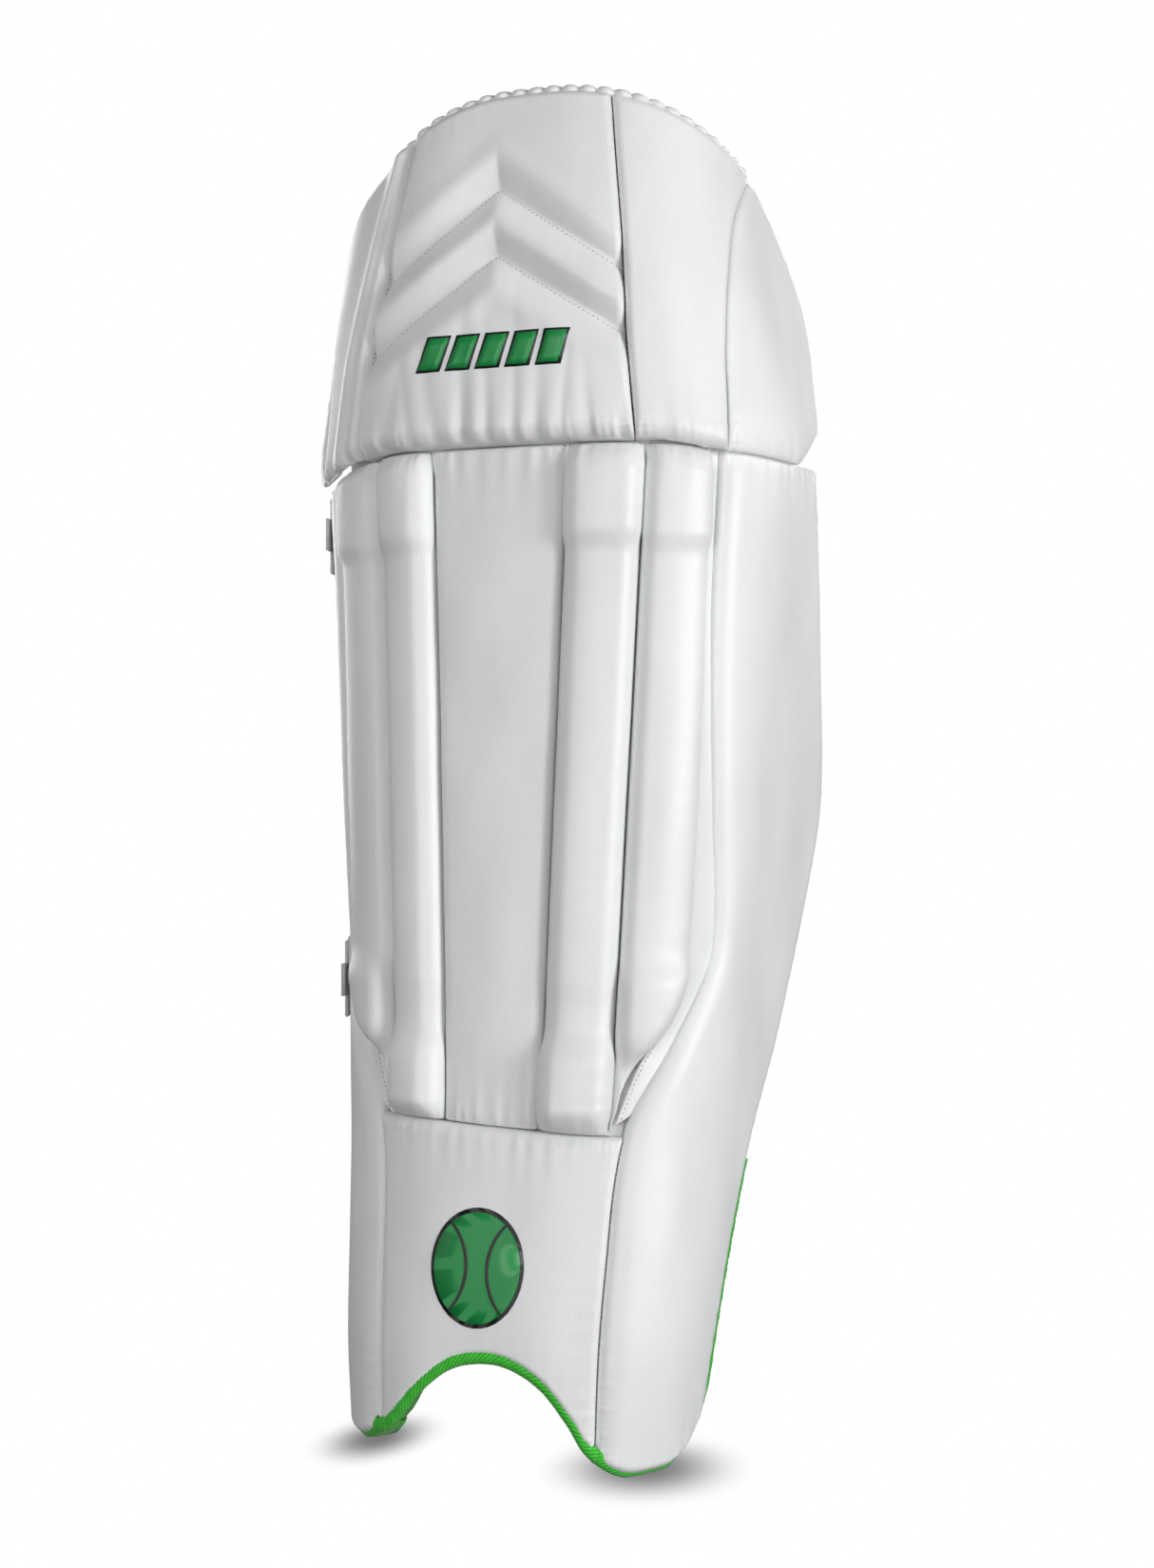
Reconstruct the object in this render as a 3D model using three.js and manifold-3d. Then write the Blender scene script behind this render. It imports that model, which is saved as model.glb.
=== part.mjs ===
// Wicket-keeping leg guard for the right leg, in millimetres, +Z up, front face towards -Y.
// Every padded piece lies on a "wrap": a plan section that is flat in front and turns back along the
// sides of the leg. A place on it is (u, z, n): u is the distance round the leg from the front centre
// line, outer side positive, before the taper is applied; z is the height; n is the height over the skin.
import * as THREE from 'three';
import Module from 'manifold-3d';
import { mergeVertices } from 'three/addons/utils/BufferGeometryUtils.js';

const wasm = await Module();
wasm.setup();

// ---- Driving dimensions -------------------------------------------------------------------------
const FLAT = 12;            // half-width of the flat front of the section
const BEND = 140;           // distance round the leg over which the section turns back
const TURN = THREE.MathUtils.degToRad(80);
const DEPTH_SHIFT = 76.8;   // moves the section so that the origin is under the middle of the guard
const SIDE_SHIFT = -5.9;    // the same, sideways

const ANKLE_Z = 153;        // seam over the instep panel
const KNEE_Z = 464;         // seam under the knee section, and the knee hinge
const ARCH_Z = 50;          // top of the arch over the foot
const SHIN_TOP = 461;       // top of the shin and side wings, under the knee seam
const KNEE_BOTTOM = 467;    // bottom of the knee pieces at the hinge
const KNEE_RISE = 0.2;      // how much higher they start for each millimetre behind the hinge

const SKIN = 1.6;           // cover material with its scrim
const FLOOR = -12;          // where covers and fills end, over the backing
const BACKING = [-14.8, -13.3];
const LINING = [-17.8, -15.8];
const SEAM_GAP = 1;         // half the gap between two panels sewn side by side
const HINGE_GAP = 2;        // half the gap between panels that turn against each other

const EDGE_TUCK = 6;        // how far the stiff sheet and lining stop short of the arch
const FLEX_ROOM = 2.5;      // extra gap at the knee side seams, so that the knee wings can flex

const STRAPS = { upper: 435, lower: 212 };
const STRAP_HEIGHT = 38;
const STRAP_THICK = 2.4;

// ---- Colours and surfaces ------------------------------------------------------------------------
const surface = (color, roughness) => new THREE.MeshStandardMaterial({ color, roughness, metalness: 0 });
const SURFACES = {
  cover: () => surface(0xe6e8e8, 0.45),
  foam: () => surface(0xd9d2b4, 0.9),
  board: () => surface(0x3c3f42, 0.6),
  lining: () => surface(0xf1f1ee, 0.95),
  binding: () => surface(0x35c02a, 0.8),
  badge: () => surface(0x12894a, 0.5),
  strap: () => surface(0xeeeeec, 0.9),
  patch: () => surface(0xdededc, 1.0),
};

// ---- Helpers ---------------------------------------------------------------------------------------
const lerp = (p, q, t) => p + (q - p) * t;
const smooth = (t) => THREE.MathUtils.smoothstep(t, 0, 1);

// A smooth function through a few points, given as [x, y] with x increasing.
function through(points) {
  const slope = (i, j) => (points[j][1] - points[i][1]) / (points[j][0] - points[i][0]);
  const last = points.length - 1;
  const tangents = points.map((_, i) => slope(Math.max(i - 1, 0), Math.min(i + 1, last)));
  return (x) => {
    if (x <= points[0][0]) return points[0][1];
    if (x >= points[last][0]) return points[last][1];
    const i = points.findIndex((p) => p[0] > x) - 1;
    const width = points[i + 1][0] - points[i][0];
    const t = (x - points[i][0]) / width;
    const start = points[i][1] * (1 + 2 * t) * (1 - t) ** 2 + tangents[i] * width * t * (1 - t) ** 2;
    const end = points[i + 1][1] * t * t * (3 - 2 * t) - tangents[i + 1] * width * t * t * (1 - t);
    return start + end;
  };
}

// ---- The wrap ---------------------------------------------------------------------------------------
const turnAt = (u) => Math.sign(u) * TURN * smooth((Math.abs(u) - FLAT) / BEND);

// The plan section, one point each millimetre round the leg.
const SECTION = [[0, 0]];
for (let u = 1; u <= 240; u += 1) {
  const [x, y] = SECTION[u - 1];
  const turn = turnAt(u - 0.5);
  SECTION.push([x + Math.cos(turn), y + Math.sin(turn)]);
}

function sectionAt(u) {
  const whole = Math.min(Math.floor(Math.abs(u)), SECTION.length - 2);
  const part = Math.abs(u) - whole;
  const x = lerp(SECTION[whole][0], SECTION[whole + 1][0], part);
  const y = lerp(SECTION[whole][1], SECTION[whole + 1][1], part);
  return [Math.sign(u) * x, y];
}

// The shin narrows towards the ankle, leans forward a little and flares over the foot.
const shinWrap = {
  scale: (z) => 0.788 + 0.000723 * z,
  front: through([[0, -28], [54, -26], [160, -11], [300, -4.5], [KNEE_Z, 0]]),
};
// The knee section stands a little proud of the shin, narrows upwards and leans back at the top.
const kneeWrap = {
  scale: (z) => 1.15 - 0.002 * (z - 467),
  front: (z) => -8 + (z > 500 ? 0.0007 * (z - 500) ** 2 : 0),
};

function onWrap(wrap, u, z, n) {
  const [x, y] = sectionAt(u);
  const turn = turnAt(u);
  const scale = wrap.scale(z);
  return new THREE.Vector3(
    scale * x + n * Math.sin(turn) - SIDE_SHIFT,
    scale * y + wrap.front(z) - n * Math.cos(turn) - DEPTH_SHIFT,
    z,
  );
}

// ---- Outlines, as distances round the leg at a height, or heights at a distance ----------------------
const centreEdge = (z) => lerp(25.5, 30, (z - ANKLE_Z) / (KNEE_Z - ANKLE_Z));
const CENTRE_LEAN = 3;      // how far the centre panel sits towards the inner side
const ROLL_SPLIT = 61;
const rollEdge = through([[ANKLE_Z, 65], [180, 76], [206, 92], [228, 98], [300, 97], [KNEE_Z, 90]]);
const wingFront = through([[0, 68], [90, 66], [ANKLE_Z, 70], [190, 92], [226, 113], [250, 114],
  [300, 106], [380, 97], [KNEE_Z, 94]]);
const outerBack = through([[0, 151], [20, 156], [130, 171], [190, 193], [270, 212], [310, 212],
  [400, 187], [KNEE_Z, 169]]);
const innerBack = through([[0, 150], [20, 154], [130, 162], [190, 172], [270, 182], [310, 182],
  [400, 168], [KNEE_Z, 156]]);
const archAt = through([[-68, 12], [-57, 18], [-38, 34], [-19, 46], [0, ARCH_Z], [17, 48.5], [36, 40], [52, 25],
  [60, 15], [68, 8.5]]);
const innerSplit = through([[KNEE_Z, 66], [509, 65], [555, 59], [610, 52]]);
const outerSplit = through([[KNEE_Z, 57], [509, 58], [555, 60.5], [620, 61]]);
const CROWN_Z = 610;        // where the seams beside the knee face reach its top edge
const kneeTop = through([[-160, 530], [-105, 575], [-74, 596], [-49, 616], [-16, 627], [16, 629],
  [48, 628], [79, 624], [110, 616], [140, 607], [170, 598]]);
const outerKneeSeam = through([[KNEE_Z, 96], [481, 99], [508, 104], [543, 115], [572, 130], [600, 160]]);
const innerKneeSeam = through([[KNEE_Z, 96], [508, 101], [543, 112], [572, 128], [600, 150]]);
const OUTER_CORNER = 156;   // distances round the leg at which the knee seams meet the top edge
const INNER_CORNER = 121;
const INNER_TOE = 5;        // how far the inner toe stands off the ground
const outerKneeBack = through([[KNEE_Z, 169], [492, 178], [520, 189], [545, 192], [575, 181], [600, 164]]);
const innerKneeBack = through([[KNEE_Z, 156], [492, 162], [520, 166], [545, 160], [575, 150]]);
const chevron = (apex) => (u) => apex - 0.68 * Math.abs(u);
const UPPER_CHEVRON = chevron(581);
const LOWER_CHEVRON = chevron(550);

// The bottom of the knee pieces rises towards the back, which leaves room for the knee to tilt.
function kneeBottom(u) {
  const depth = kneeWrap.scale(KNEE_Z) * sectionAt(u)[1];
  return KNEE_BOTTOM + KNEE_RISE * depth;
}

// ---- Solids laid on the wrap --------------------------------------------------------------------------
function closedGeometry(points, faces) {
  const geometry = new THREE.BufferGeometry();
  geometry.setAttribute('position', new THREE.Float32BufferAttribute(points.flatMap((p) => p.toArray()), 3));
  geometry.setIndex(faces.flat());
  return geometry;
}

const quad = (p, q, r, s) => [[p, q, r], [p, r, s]];

// A closed slab between two faces. across and along list the stations, from 0 to 1, and at(a, b) gives
// the [u, z] of a station; top(a, b) and bottom(a, b) are the heights of the two faces.
function slab(wrap, { at, across, along, top, bottom }) {
  const columns = across.length;
  const rows = along.length;
  const layer = columns * rows;
  const points = [];
  for (const face of [top, bottom]) {
    for (const b of along) {
      for (const a of across) {
        const [u, z] = at(a, b);
        points.push(onWrap(wrap, u, z, face(a, b)));
      }
    }
  }
  const outer = (i, j) => j * columns + i;
  const inner = (i, j) => layer + outer(i, j);
  const faces = [];
  for (let j = 0; j < rows - 1; j += 1) {
    for (let i = 0; i < columns - 1; i += 1) {
      faces.push(...quad(outer(i, j), outer(i + 1, j), outer(i + 1, j + 1), outer(i, j + 1)));
      faces.push(...quad(inner(i, j), inner(i, j + 1), inner(i + 1, j + 1), inner(i + 1, j)));
    }
  }
  const [right, up] = [columns - 1, rows - 1];
  for (let i = 0; i < right; i += 1) {
    faces.push(...quad(inner(i, 0), inner(i + 1, 0), outer(i + 1, 0), outer(i, 0)));
    faces.push(...quad(outer(i, up), outer(i + 1, up), inner(i + 1, up), inner(i, up)));
  }
  for (let j = 0; j < up; j += 1) {
    faces.push(...quad(outer(right, j), inner(right, j), inner(right, j + 1), outer(right, j + 1)));
    faces.push(...quad(inner(0, j), outer(0, j), outer(0, j + 1), inner(0, j + 1)));
  }
  return closedGeometry(points, faces);
}

const even = (count) => Array.from({ length: count + 1 }, (_, i) => i / count);

// Stations of a crowned panel: close together at its two edges, where it rounds over.
const ROUNDED = [[0, 0], [0.1, 0.75], [0.3, 1], [0.5, 1], [0.7, 1], [0.9, 0.75], [1, 0]];
const crownAt = (t) => {
  const place = THREE.MathUtils.clamp(t, 0, 1);
  const i = Math.max(ROUNDED.findIndex((p) => p[0] >= place), 1);
  const [p, q] = [ROUNDED[i - 1], ROUNDED[i]];
  return lerp(p[1], q[1], (place - p[0]) / (q[0] - p[0]));
};
const roundedStations = (margin, middle) => {
  const inside = ROUNDED.map((p) => p[0]).filter((t) => t > margin + 0.02 && t < 1 - margin - 0.02);
  const kept = middle ? inside : inside.filter((t) => t !== 0.3 && t !== 0.7);
  return [margin, ...kept, 1 - margin];
};

function toSolid(geometry) {
  const bare = mergeVertices(geometry);
  return new wasm.Manifold(new wasm.Mesh({
    numProp: 3,
    vertProperties: new Float32Array(bare.attributes.position.array),
    triVerts: new Uint32Array(bare.index.array),
  }));
}

function fromSolid(solid) {
  const mesh = solid.getMesh();
  const geometry = new THREE.BufferGeometry();
  geometry.setAttribute('position', new THREE.BufferAttribute(new Float32Array(mesh.vertProperties), 3));
  geometry.setIndex(new THREE.BufferAttribute(new Uint32Array(mesh.triVerts), 1));
  return geometry;
}

// A sewn cushion: an open-backed cover and the foam inside it. edge is the height of its rim, crown the
// height of its middle, and inset the share of its width and length that the cover's walls take.
function cushion(wrap, { at, edge = -5, crown = 2, floor = FLOOR, inset = [0.06, 0.02], fine = true, columns }) {
  const height = (a, b) => edge + (crown - edge) * crownAt(a) * crownAt(b);
  const evenly = (margin) => even(columns).map((t) => THREE.MathUtils.clamp(t, margin, 1 - margin));
  const body = (margins, top, bottom) => slab(wrap, {
    at,
    across: columns ? evenly(margins[0]) : roundedStations(margins[0], fine),
    along: roundedStations(margins[1], true),
    top: (a, b) => height(a, b) - top,
    bottom: () => bottom,
  });
  const shell = toSolid(body([0, 0], 0, floor)).subtract(toSolid(body(inset, SKIN, floor - 2)));
  const slack = [inset[0] * 1.5, inset[1] * 1.5];
  return { cover: fromSolid(shell), fill: body(slack, SKIN + 1.2, floor + 0.3) };
}

// A sheet of even thickness.
function sheet(wrap, at, [bottom, top], across, along) {
  return slab(wrap, { at, across: even(across), along: even(along), top: () => top, bottom: () => bottom });
}

// A folded edging that grips a panel's edge. path(t) gives the edge's [u, z], and inward(t) the unit
// direction from there into the panel.
function edging(wrap, path, inward, stations, [low, high], leg = 5, wall = 1.2, gap = 0.5) {
  const section = [
    [high + gap + wall, leg], [high + gap + wall, -wall], [low - gap - wall, -wall], [low - gap - wall, leg],
    [low - gap, leg], [low - gap, 0], [high + gap, 0], [high + gap, leg],
  ];
  const points = [];
  for (const t of stations) {
    const [u, z] = path(t);
    const [du, dz] = inward(t);
    section.forEach(([n, w]) => points.push(onWrap(wrap, u + du * w, z + dz * w, n)));
  }
  const sides = section.length;
  const faces = [];
  for (let i = 0; i < stations.length - 1; i += 1) {
    for (let k = 0; k < sides; k += 1) {
      const next = (k + 1) % sides;
      faces.push(...quad(i * sides + k, i * sides + next, (i + 1) * sides + next, (i + 1) * sides + k));
    }
  }
  const cap = (base, flip) => [[0, 1, 6, 7], [1, 2, 5, 6], [2, 3, 4, 5]].forEach((corners) => {
    const order = flip ? [...corners].reverse() : corners;
    faces.push(...quad(...order.map((corner) => base + corner)));
  });
  cap(0, true);
  cap((stations.length - 1) * sides, false);
  return closedGeometry(points, faces);
}

// A flat strap standing on edge: plan is its centre line seen from above.
function ribbon(plan, low, high, thick) {
  const points = [];
  plan.forEach((p, i) => {
    const before = plan[Math.max(i - 1, 0)];
    const after = plan[Math.min(i + 1, plan.length - 1)];
    const side = new THREE.Vector2(after.y - before.y, before.x - after.x).normalize().multiplyScalar(thick / 2);
    points.push(
      new THREE.Vector3(p.x + side.x, p.y + side.y, low), new THREE.Vector3(p.x - side.x, p.y - side.y, low),
      new THREE.Vector3(p.x - side.x, p.y - side.y, high), new THREE.Vector3(p.x + side.x, p.y + side.y, high),
    );
  });
  const faces = [];
  const end = (plan.length - 1) * 4;
  for (let i = 0; i < end; i += 4) {
    for (let k = 0; k < 4; k += 1) {
      const next = (k + 1) % 4;
      faces.push(...quad(i + k, i + next, i + 4 + next, i + 4 + k));
    }
  }
  faces.push(...quad(3, 2, 1, 0), ...quad(end, end + 1, end + 2, end + 3));
  return closedGeometry(points, faces);
}

// ---- The assembly -----------------------------------------------------------------------------------
const guard = new THREE.Group();

function add(name, geometry, look) {
  const mesh = new THREE.Mesh(geometry, SURFACES[look]());
  mesh.name = name;
  guard.add(mesh);
}

function addCushion(coverName, fillName, wrap, options) {
  const { cover, fill } = cushion(wrap, options);
  add(coverName, cover, 'cover');
  add(fillName, fill, 'foam');
}

const between = (left, right, bottom, top) => (a, b) => {
  const z = lerp(bottom(a), top(a), b);
  return [lerp(left(z), right(z), a), z];
};
const fixed = (value) => () => value;
const mirrored = (at) => (a, b) => {
  const [u, z] = at(1 - a, b);
  return [-u, z];
};

// Shin: a wide centre panel with two rolls each side, on one stiff backing.
function addShin() {
  const rows = [fixed(ANKLE_Z + SEAM_GAP), fixed(SHIN_TOP)];
  addCushion('shin_centre_cover', 'shin_centre_foam', shinWrap, {
    at: between(
      (z) => SEAM_GAP - centreEdge(z) - CENTRE_LEAN,
      (z) => centreEdge(z) - CENTRE_LEAN - SEAM_GAP,
      ...rows,
    ),
    edge: -6,
    crown: -0.5,
  });
  const besideCentre = (lean) => between(
    (z) => centreEdge(z) + lean + SEAM_GAP,
    fixed(ROLL_SPLIT - SEAM_GAP),
    ...rows,
  );
  const outerRow = between(
    fixed(ROLL_SPLIT + SEAM_GAP),
    (z) => rollEdge(z) - SEAM_GAP,
    (a) => lerp(ANKLE_Z + 6, ANKLE_Z + 44, a),
    fixed(SHIN_TOP),
  );
  const rolls = [mirrored(outerRow), mirrored(besideCentre(CENTRE_LEAN)), besideCentre(-CENTRE_LEAN), outerRow];
  rolls.forEach((at, i) => {
    addCushion(`roll_cover_${i + 1}`, `roll_foam_${i + 1}`, shinWrap, { at, edge: -6, crown: 3, fine: false });
  });

  const edge = (z) => wingFront(z) - HINGE_GAP - 1;
  const foot = (a) => archAt((2 * a - 1) * edge(40)) + EDGE_TUCK;
  const whole = between((z) => -edge(z), edge, foot, fixed(SHIN_TOP));
  add('shin_backing', sheet(shinWrap, whole, BACKING, 12, 10), 'board');
  add('shin_lining', sheet(shinWrap, whole, LINING, 12, 10), 'lining');
  for (const [name, side] of [['inner', mirrored], ['outer', (at) => at]]) {
    const at = side((a, b) => [lerp(16, 56, a), lerp(178, 350, b)]);
    add(`shin_bolster_${name}`, slab(shinWrap, {
      at,
      across: even(4),
      along: [0, 0.08, 0.35, 0.65, 0.92, 1],
      top: fixed(LINING[0] - 1.6),
      bottom: (a, b) => LINING[0] - 3 - 11 * crownAt(a) * crownAt(b),
    }), 'lining');
  }
}

// Instep: one panel under the ankle seam, arched over the foot, with its edging and badge.
function addInstep() {
  const side = (z) => wingFront(z) - HINGE_GAP;
  const foot = (a) => archAt((2 * a - 1) * 64) + 1;
  addCushion('instep_cover', 'instep_foam', shinWrap, {
    at: between((z) => -side(z), side, foot, fixed(ANKLE_Z - SEAM_GAP)), edge: -3, crown: 0.5, inset: [0.03, 0.1], columns: 14,
  });
  const span = 62;
  const path = (t) => [lerp(-span, span, t), archAt(lerp(-span, span, t))];
  const inward = (t) => {
    const step = 0.01;
    const [before, after] = [path(Math.max(t - step, 0)), path(Math.min(t + step, 1))];
    const run = new THREE.Vector2(after[0] - before[0], after[1] - before[1]).normalize();
    return [-run.y, run.x];
  };
  add('instep_binding', edging(shinWrap, path, inward, even(14), [LINING[0], -1]), 'binding');
  const badge = (a, b) => [lerp(-31, 23, a), lerp(64, 118, b)];
  add('instep_badge', sheet(shinWrap, badge, [0.9, 1.5], 4, 3), 'badge');
}

// Side wings: long panels from the knee seam to the toe, each with lining and edging.
function addWing(side, mirror, back, ground) {
  const front = (z) => wingFront(z) + HINGE_GAP;
  const toe = (a) => {
    const rise = a < 0.3 ? 8 * (1 - a / 0.3) ** 2 : 0;
    return ground + rise + (a > 0.5 ? 26 * ((a - 0.5) / 0.5) ** 2.5 : 0);
  };
  const lift = 2;
  const panel = between(front, (z) => back(z) - lift, (a) => toe(a) + lift, fixed(SHIN_TOP));
  const at = mirror(panel);
  const { cover, fill } = cushion(shinWrap, { at, edge: -5, crown: 1.5, inset: [0.03, 0.015] });
  add(`wing_${side}_cover`, cover, 'cover');
  add(`wing_${side}_foam`, fill, 'foam');
  add(`wing_${side}_lining`, slab(shinWrap, {
    at,
    across: roundedStations(0, true),
    along: roundedStations(0, true),
    top: fixed(FLOOR - 0.8),
    bottom: fixed(FLOOR - 2.8),
  }), 'lining');

  // The edging runs under the toe and up the back edge.
  const toeShare = 0.45;
  const wall = 1.2;
  const bindingTop = 131;
  const path = (t) => {
    if (t < toeShare) {
      const a = t / toeShare;
      return [panel(a, 0)[0], toe(a) + wall];
    }
    const z = lerp(toe(1) + wall, bindingTop, (t - toeShare) / (1 - toeShare));
    return [back(z) + 2, z];
  };
  const inward = (t) => {
    const step = 0.002;
    const [before, after] = [path(Math.max(t - step, 0)), path(Math.min(t + step, 1))];
    const run = new THREE.Vector2(after[0] - before[0], after[1] - before[1]).normalize();
    return [-run.y, run.x];
  };
  const stations = [...[0, 0.1, 0.3, 0.5, 0.7, 0.9, 0.98].map((a) => a * toeShare), 0.47, 0.55, 0.7, 0.85, 1];
  const flip = mirror((a) => [a, 0])(0, 0)[0] === -1;
  const ends = flip ? [...stations].reverse() : stations;
  const reflect = ([u, z]) => (flip ? [-u, z] : [u, z]);
  add(
    `wing_${side}_binding`,
    edging(shinWrap, (t) => reflect(path(t)), (t) => reflect(inward(t)), ends, [FLOOR - 2.8, -1]),
    'binding',
  );
}

// Knee: three blocks divided by two chevrons under one face cover, with a panel each side.
function addKnee() {
  const face = between(
    (z) => SEAM_GAP - innerSplit(z),
    (z) => outerSplit(z) - SEAM_GAP,
    (a) => kneeBottom(lerp(-innerSplit(KNEE_Z), outerSplit(KNEE_Z), a)),
    (a) => kneeTop(lerp(-innerSplit(CROWN_Z), outerSplit(CROWN_Z), a)) - 2,
  );
  add('knee_face_cover', cushion(kneeWrap, { at: face, edge: -4, crown: 3, inset: [0.025, 0.02] }).cover, 'cover');
  const gap = 1;
  const block = (bottom, top, low, high) => {
    const at = (a, b) => {
      const u = a < 0.5 ? (6 - innerSplit(high)) * (1 - 2 * a) : (outerSplit(low) - 6) * (2 * a - 1);
      return [u, lerp(bottom(u) + gap, top(u) - gap, b)];
    };
    const topFace = (a, b) => {
      const v = THREE.MathUtils.clamp((at(a, b)[1] - KNEE_BOTTOM) / (kneeTop(0) - KNEE_BOTTOM), 0, 1);
      return -4 + 7 * crownAt(lerp(0.05, 0.95, a)) * crownAt(v) - SKIN - 1.4;
    };
    return slab(kneeWrap, { at, across: even(8), along: even(3), top: topFace, bottom: fixed(FLOOR + 0.3) });
  };
  add('knee_top_foam', block(UPPER_CHEVRON, (u) => kneeTop(u) - 20, 545, CROWN_Z), 'foam');
  add('knee_chevron_foam', block(LOWER_CHEVRON, UPPER_CHEVRON, 515, 580), 'foam');
  add('knee_lower_foam', block((u) => kneeBottom(u) + 4, LOWER_CHEVRON, KNEE_Z, 550), 'foam');

  const sides = [
    ['outer', (at) => at, outerSplit, outerKneeSeam, 1, OUTER_CORNER],
    ['inner', mirrored, innerSplit, innerKneeSeam, -1, INNER_CORNER],
  ];
  for (const [name, mirror, split, seam, sign, corner] of sides) {
    const at = mirror(between(
      (z) => split(z) + SEAM_GAP,
      (z) => seam(z) - HINGE_GAP,
      (a) => kneeBottom(lerp(split(KNEE_Z), 96, a)),
      (a) => kneeTop(sign * lerp(split(CROWN_Z), corner, a)) - 3.5,
    ));
    addCushion(`knee_side_cover_${name}`, `knee_side_foam_${name}`, kneeWrap, { at, edge: -4, crown: 2 });
  }

  const wide = (z) => Math.min(outerKneeSeam(z), innerKneeSeam(z)) - HINGE_GAP - 1;
  const whole = between(
    (z) => -wide(z),
    wide,
    (a) => kneeBottom((2 * a - 1) * 92),
    (a) => kneeTop((2 * a - 1) * (a < 0.5 ? 112 : 128)) - 12,
  );
  add('knee_backing', sheet(kneeWrap, whole, BACKING, 14, 5), 'board');
  add('knee_lining', sheet(kneeWrap, whole, LINING, 14, 5), 'lining');
  const bolsters = { lower: [484, 518], middle: [524, 556], upper: [562, 590] };
  for (const [name, [low, high]] of Object.entries(bolsters)) {
    const at = (a, b) => [lerp(-78, 78, a), lerp(low, high, b)];
    add(`knee_bolster_${name}`, slab(kneeWrap, {
      at,
      across: even(12),
      along: [0, 0.25, 0.75, 1],
      top: fixed(LINING[0] - 1.6),
      bottom: (a, b) => LINING[0] - 3 - 10 * (b > 0 && b < 1 ? 1 : 0) * (a > 0 && a < 1 ? 1 : 0),
    }), 'lining');
  }

  const [start, end] = [-60, 148];
  const path = (t) => [lerp(start, end, t), kneeTop(lerp(start, end, t))];
  const inward = () => [0, -1];
  add('knee_top_binding', edging(kneeWrap, path, inward, even(16).reverse(), [LINING[0], -1]), 'cover');
  const badge = (a, b) => [lerp(-33, 31, a), lerp(502, 520, b)];
  add('knee_badge', sheet(kneeWrap, badge, [3.6, 4.2], 4, 2), 'badge');
}

// Knee wings: the parts of the knee section behind the two curved seams.
function addKneeWing(side, mirror, seam, back, topAt) {
  const at = mirror(between(
    (z) => seam(z) + HINGE_GAP + FLEX_ROOM * smooth((z - 530) / 50),
    back,
    (a) => kneeBottom(lerp(98, back(KNEE_Z), a)),
    topAt,
  ));
  addCushion(`knee_wing_${side}_cover`, `knee_wing_${side}_foam`, kneeWrap, { at, edge: -4, crown: 1.5 });
  add(`knee_wing_${side}_lining`, slab(kneeWrap, {
    at,
    across: roundedStations(0, true),
    along: roundedStations(0, true),
    top: fixed(FLOOR - 0.8),
    bottom: fixed(FLOOR - 2.8),
  }), 'lining');
}

// Straps: anchored at the outer wing's back edge, round the calf, closed on the inner wing's outside.
function addStrap(name, z) {
  const [low, high] = [z - STRAP_HEIGHT / 2, z + STRAP_HEIGHT / 2];
  const hinge = Math.max(outerBack(low), outerBack(high)) + 3;
  const anchor = (a, b) => [lerp(hinge - 48, hinge - 12, a), lerp(low - 2, high + 2, b)];
  add(`${name}_strap_anchor`, sheet(shinWrap, anchor, [FLOOR - 6, FLOOR - 3.4], 3, 1), 'strap');
  const patch = (a, b) => [lerp(6 - innerBack(z), -128, a), lerp(low - 3, high + 3, b)];
  add(`${name}_loop_patch`, sheet(shinWrap, patch, [1.9, 2.9], 5, 1), 'patch');

  const plan = (u, n) => {
    const p = onWrap(shinWrap, u, z, n);
    return new THREE.Vector3(p.x, p.y, 0);
  };
  const start = plan(hinge, FLOOR - 3);
  const end = plan(4 - innerBack(z), 7.6);
  const rear = start.y + 48;
  const curve = new THREE.CatmullRomCurve3([
    start,
    new THREE.Vector3(start.x - 8, start.y + 20, 0),
    new THREE.Vector3(start.x * 0.62, rear - 6, 0),
    new THREE.Vector3(0, rear + 6, 0),
    new THREE.Vector3(end.x * 0.62, rear - 6, 0),
    new THREE.Vector3(end.x - 2, end.y + 34, 0),
    end,
    plan(-147, 7.6),
    plan(-138, 7.2),
  ]);
  add(`${name}_strap_band`, ribbon(curve.getSpacedPoints(34), low, high, STRAP_THICK), 'strap');
  const hook = [-156, -150, -145, -140].map((u) => plan(u, 5));
  add(`${name}_hook_patch`, ribbon(hook, low + 3, high - 3, 1.2), 'patch');
  const tab = [-136, -133, -130].map((u) => plan(u, 5.6));
  add(`${name}_pull_tab`, ribbon(tab, z - 8, z + 8, 2), 'strap');
}

addShin();
addInstep();
addWing('outer', (at) => at, outerBack, 0);
addWing('inner', mirrored, innerBack, INNER_TOE);
addKnee();
addKneeWing('outer', (at) => at, outerKneeSeam, outerKneeBack, (a) => lerp(594, 587, a));
addKneeWing('inner', mirrored, innerKneeSeam, innerKneeBack, (a) => kneeTop(-lerp(INNER_CORNER, 152, a)) - 4);
Object.entries(STRAPS).forEach(([name, z]) => addStrap(name, z));

export default guard;
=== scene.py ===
"""Wicket-keeping leg guard: its covers, foam, lining, stitching, edging and straps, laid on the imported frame.

Every padded piece lies on a wrap. A place on it is (u, z, n) in millimetres: u is the distance round the
leg from the front centre line, z the height, and n the height over the skin.
"""
import math

import bmesh
import bpy
import numpy as np
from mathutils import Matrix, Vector
from mathutils.bvhtree import BVHTree


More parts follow.
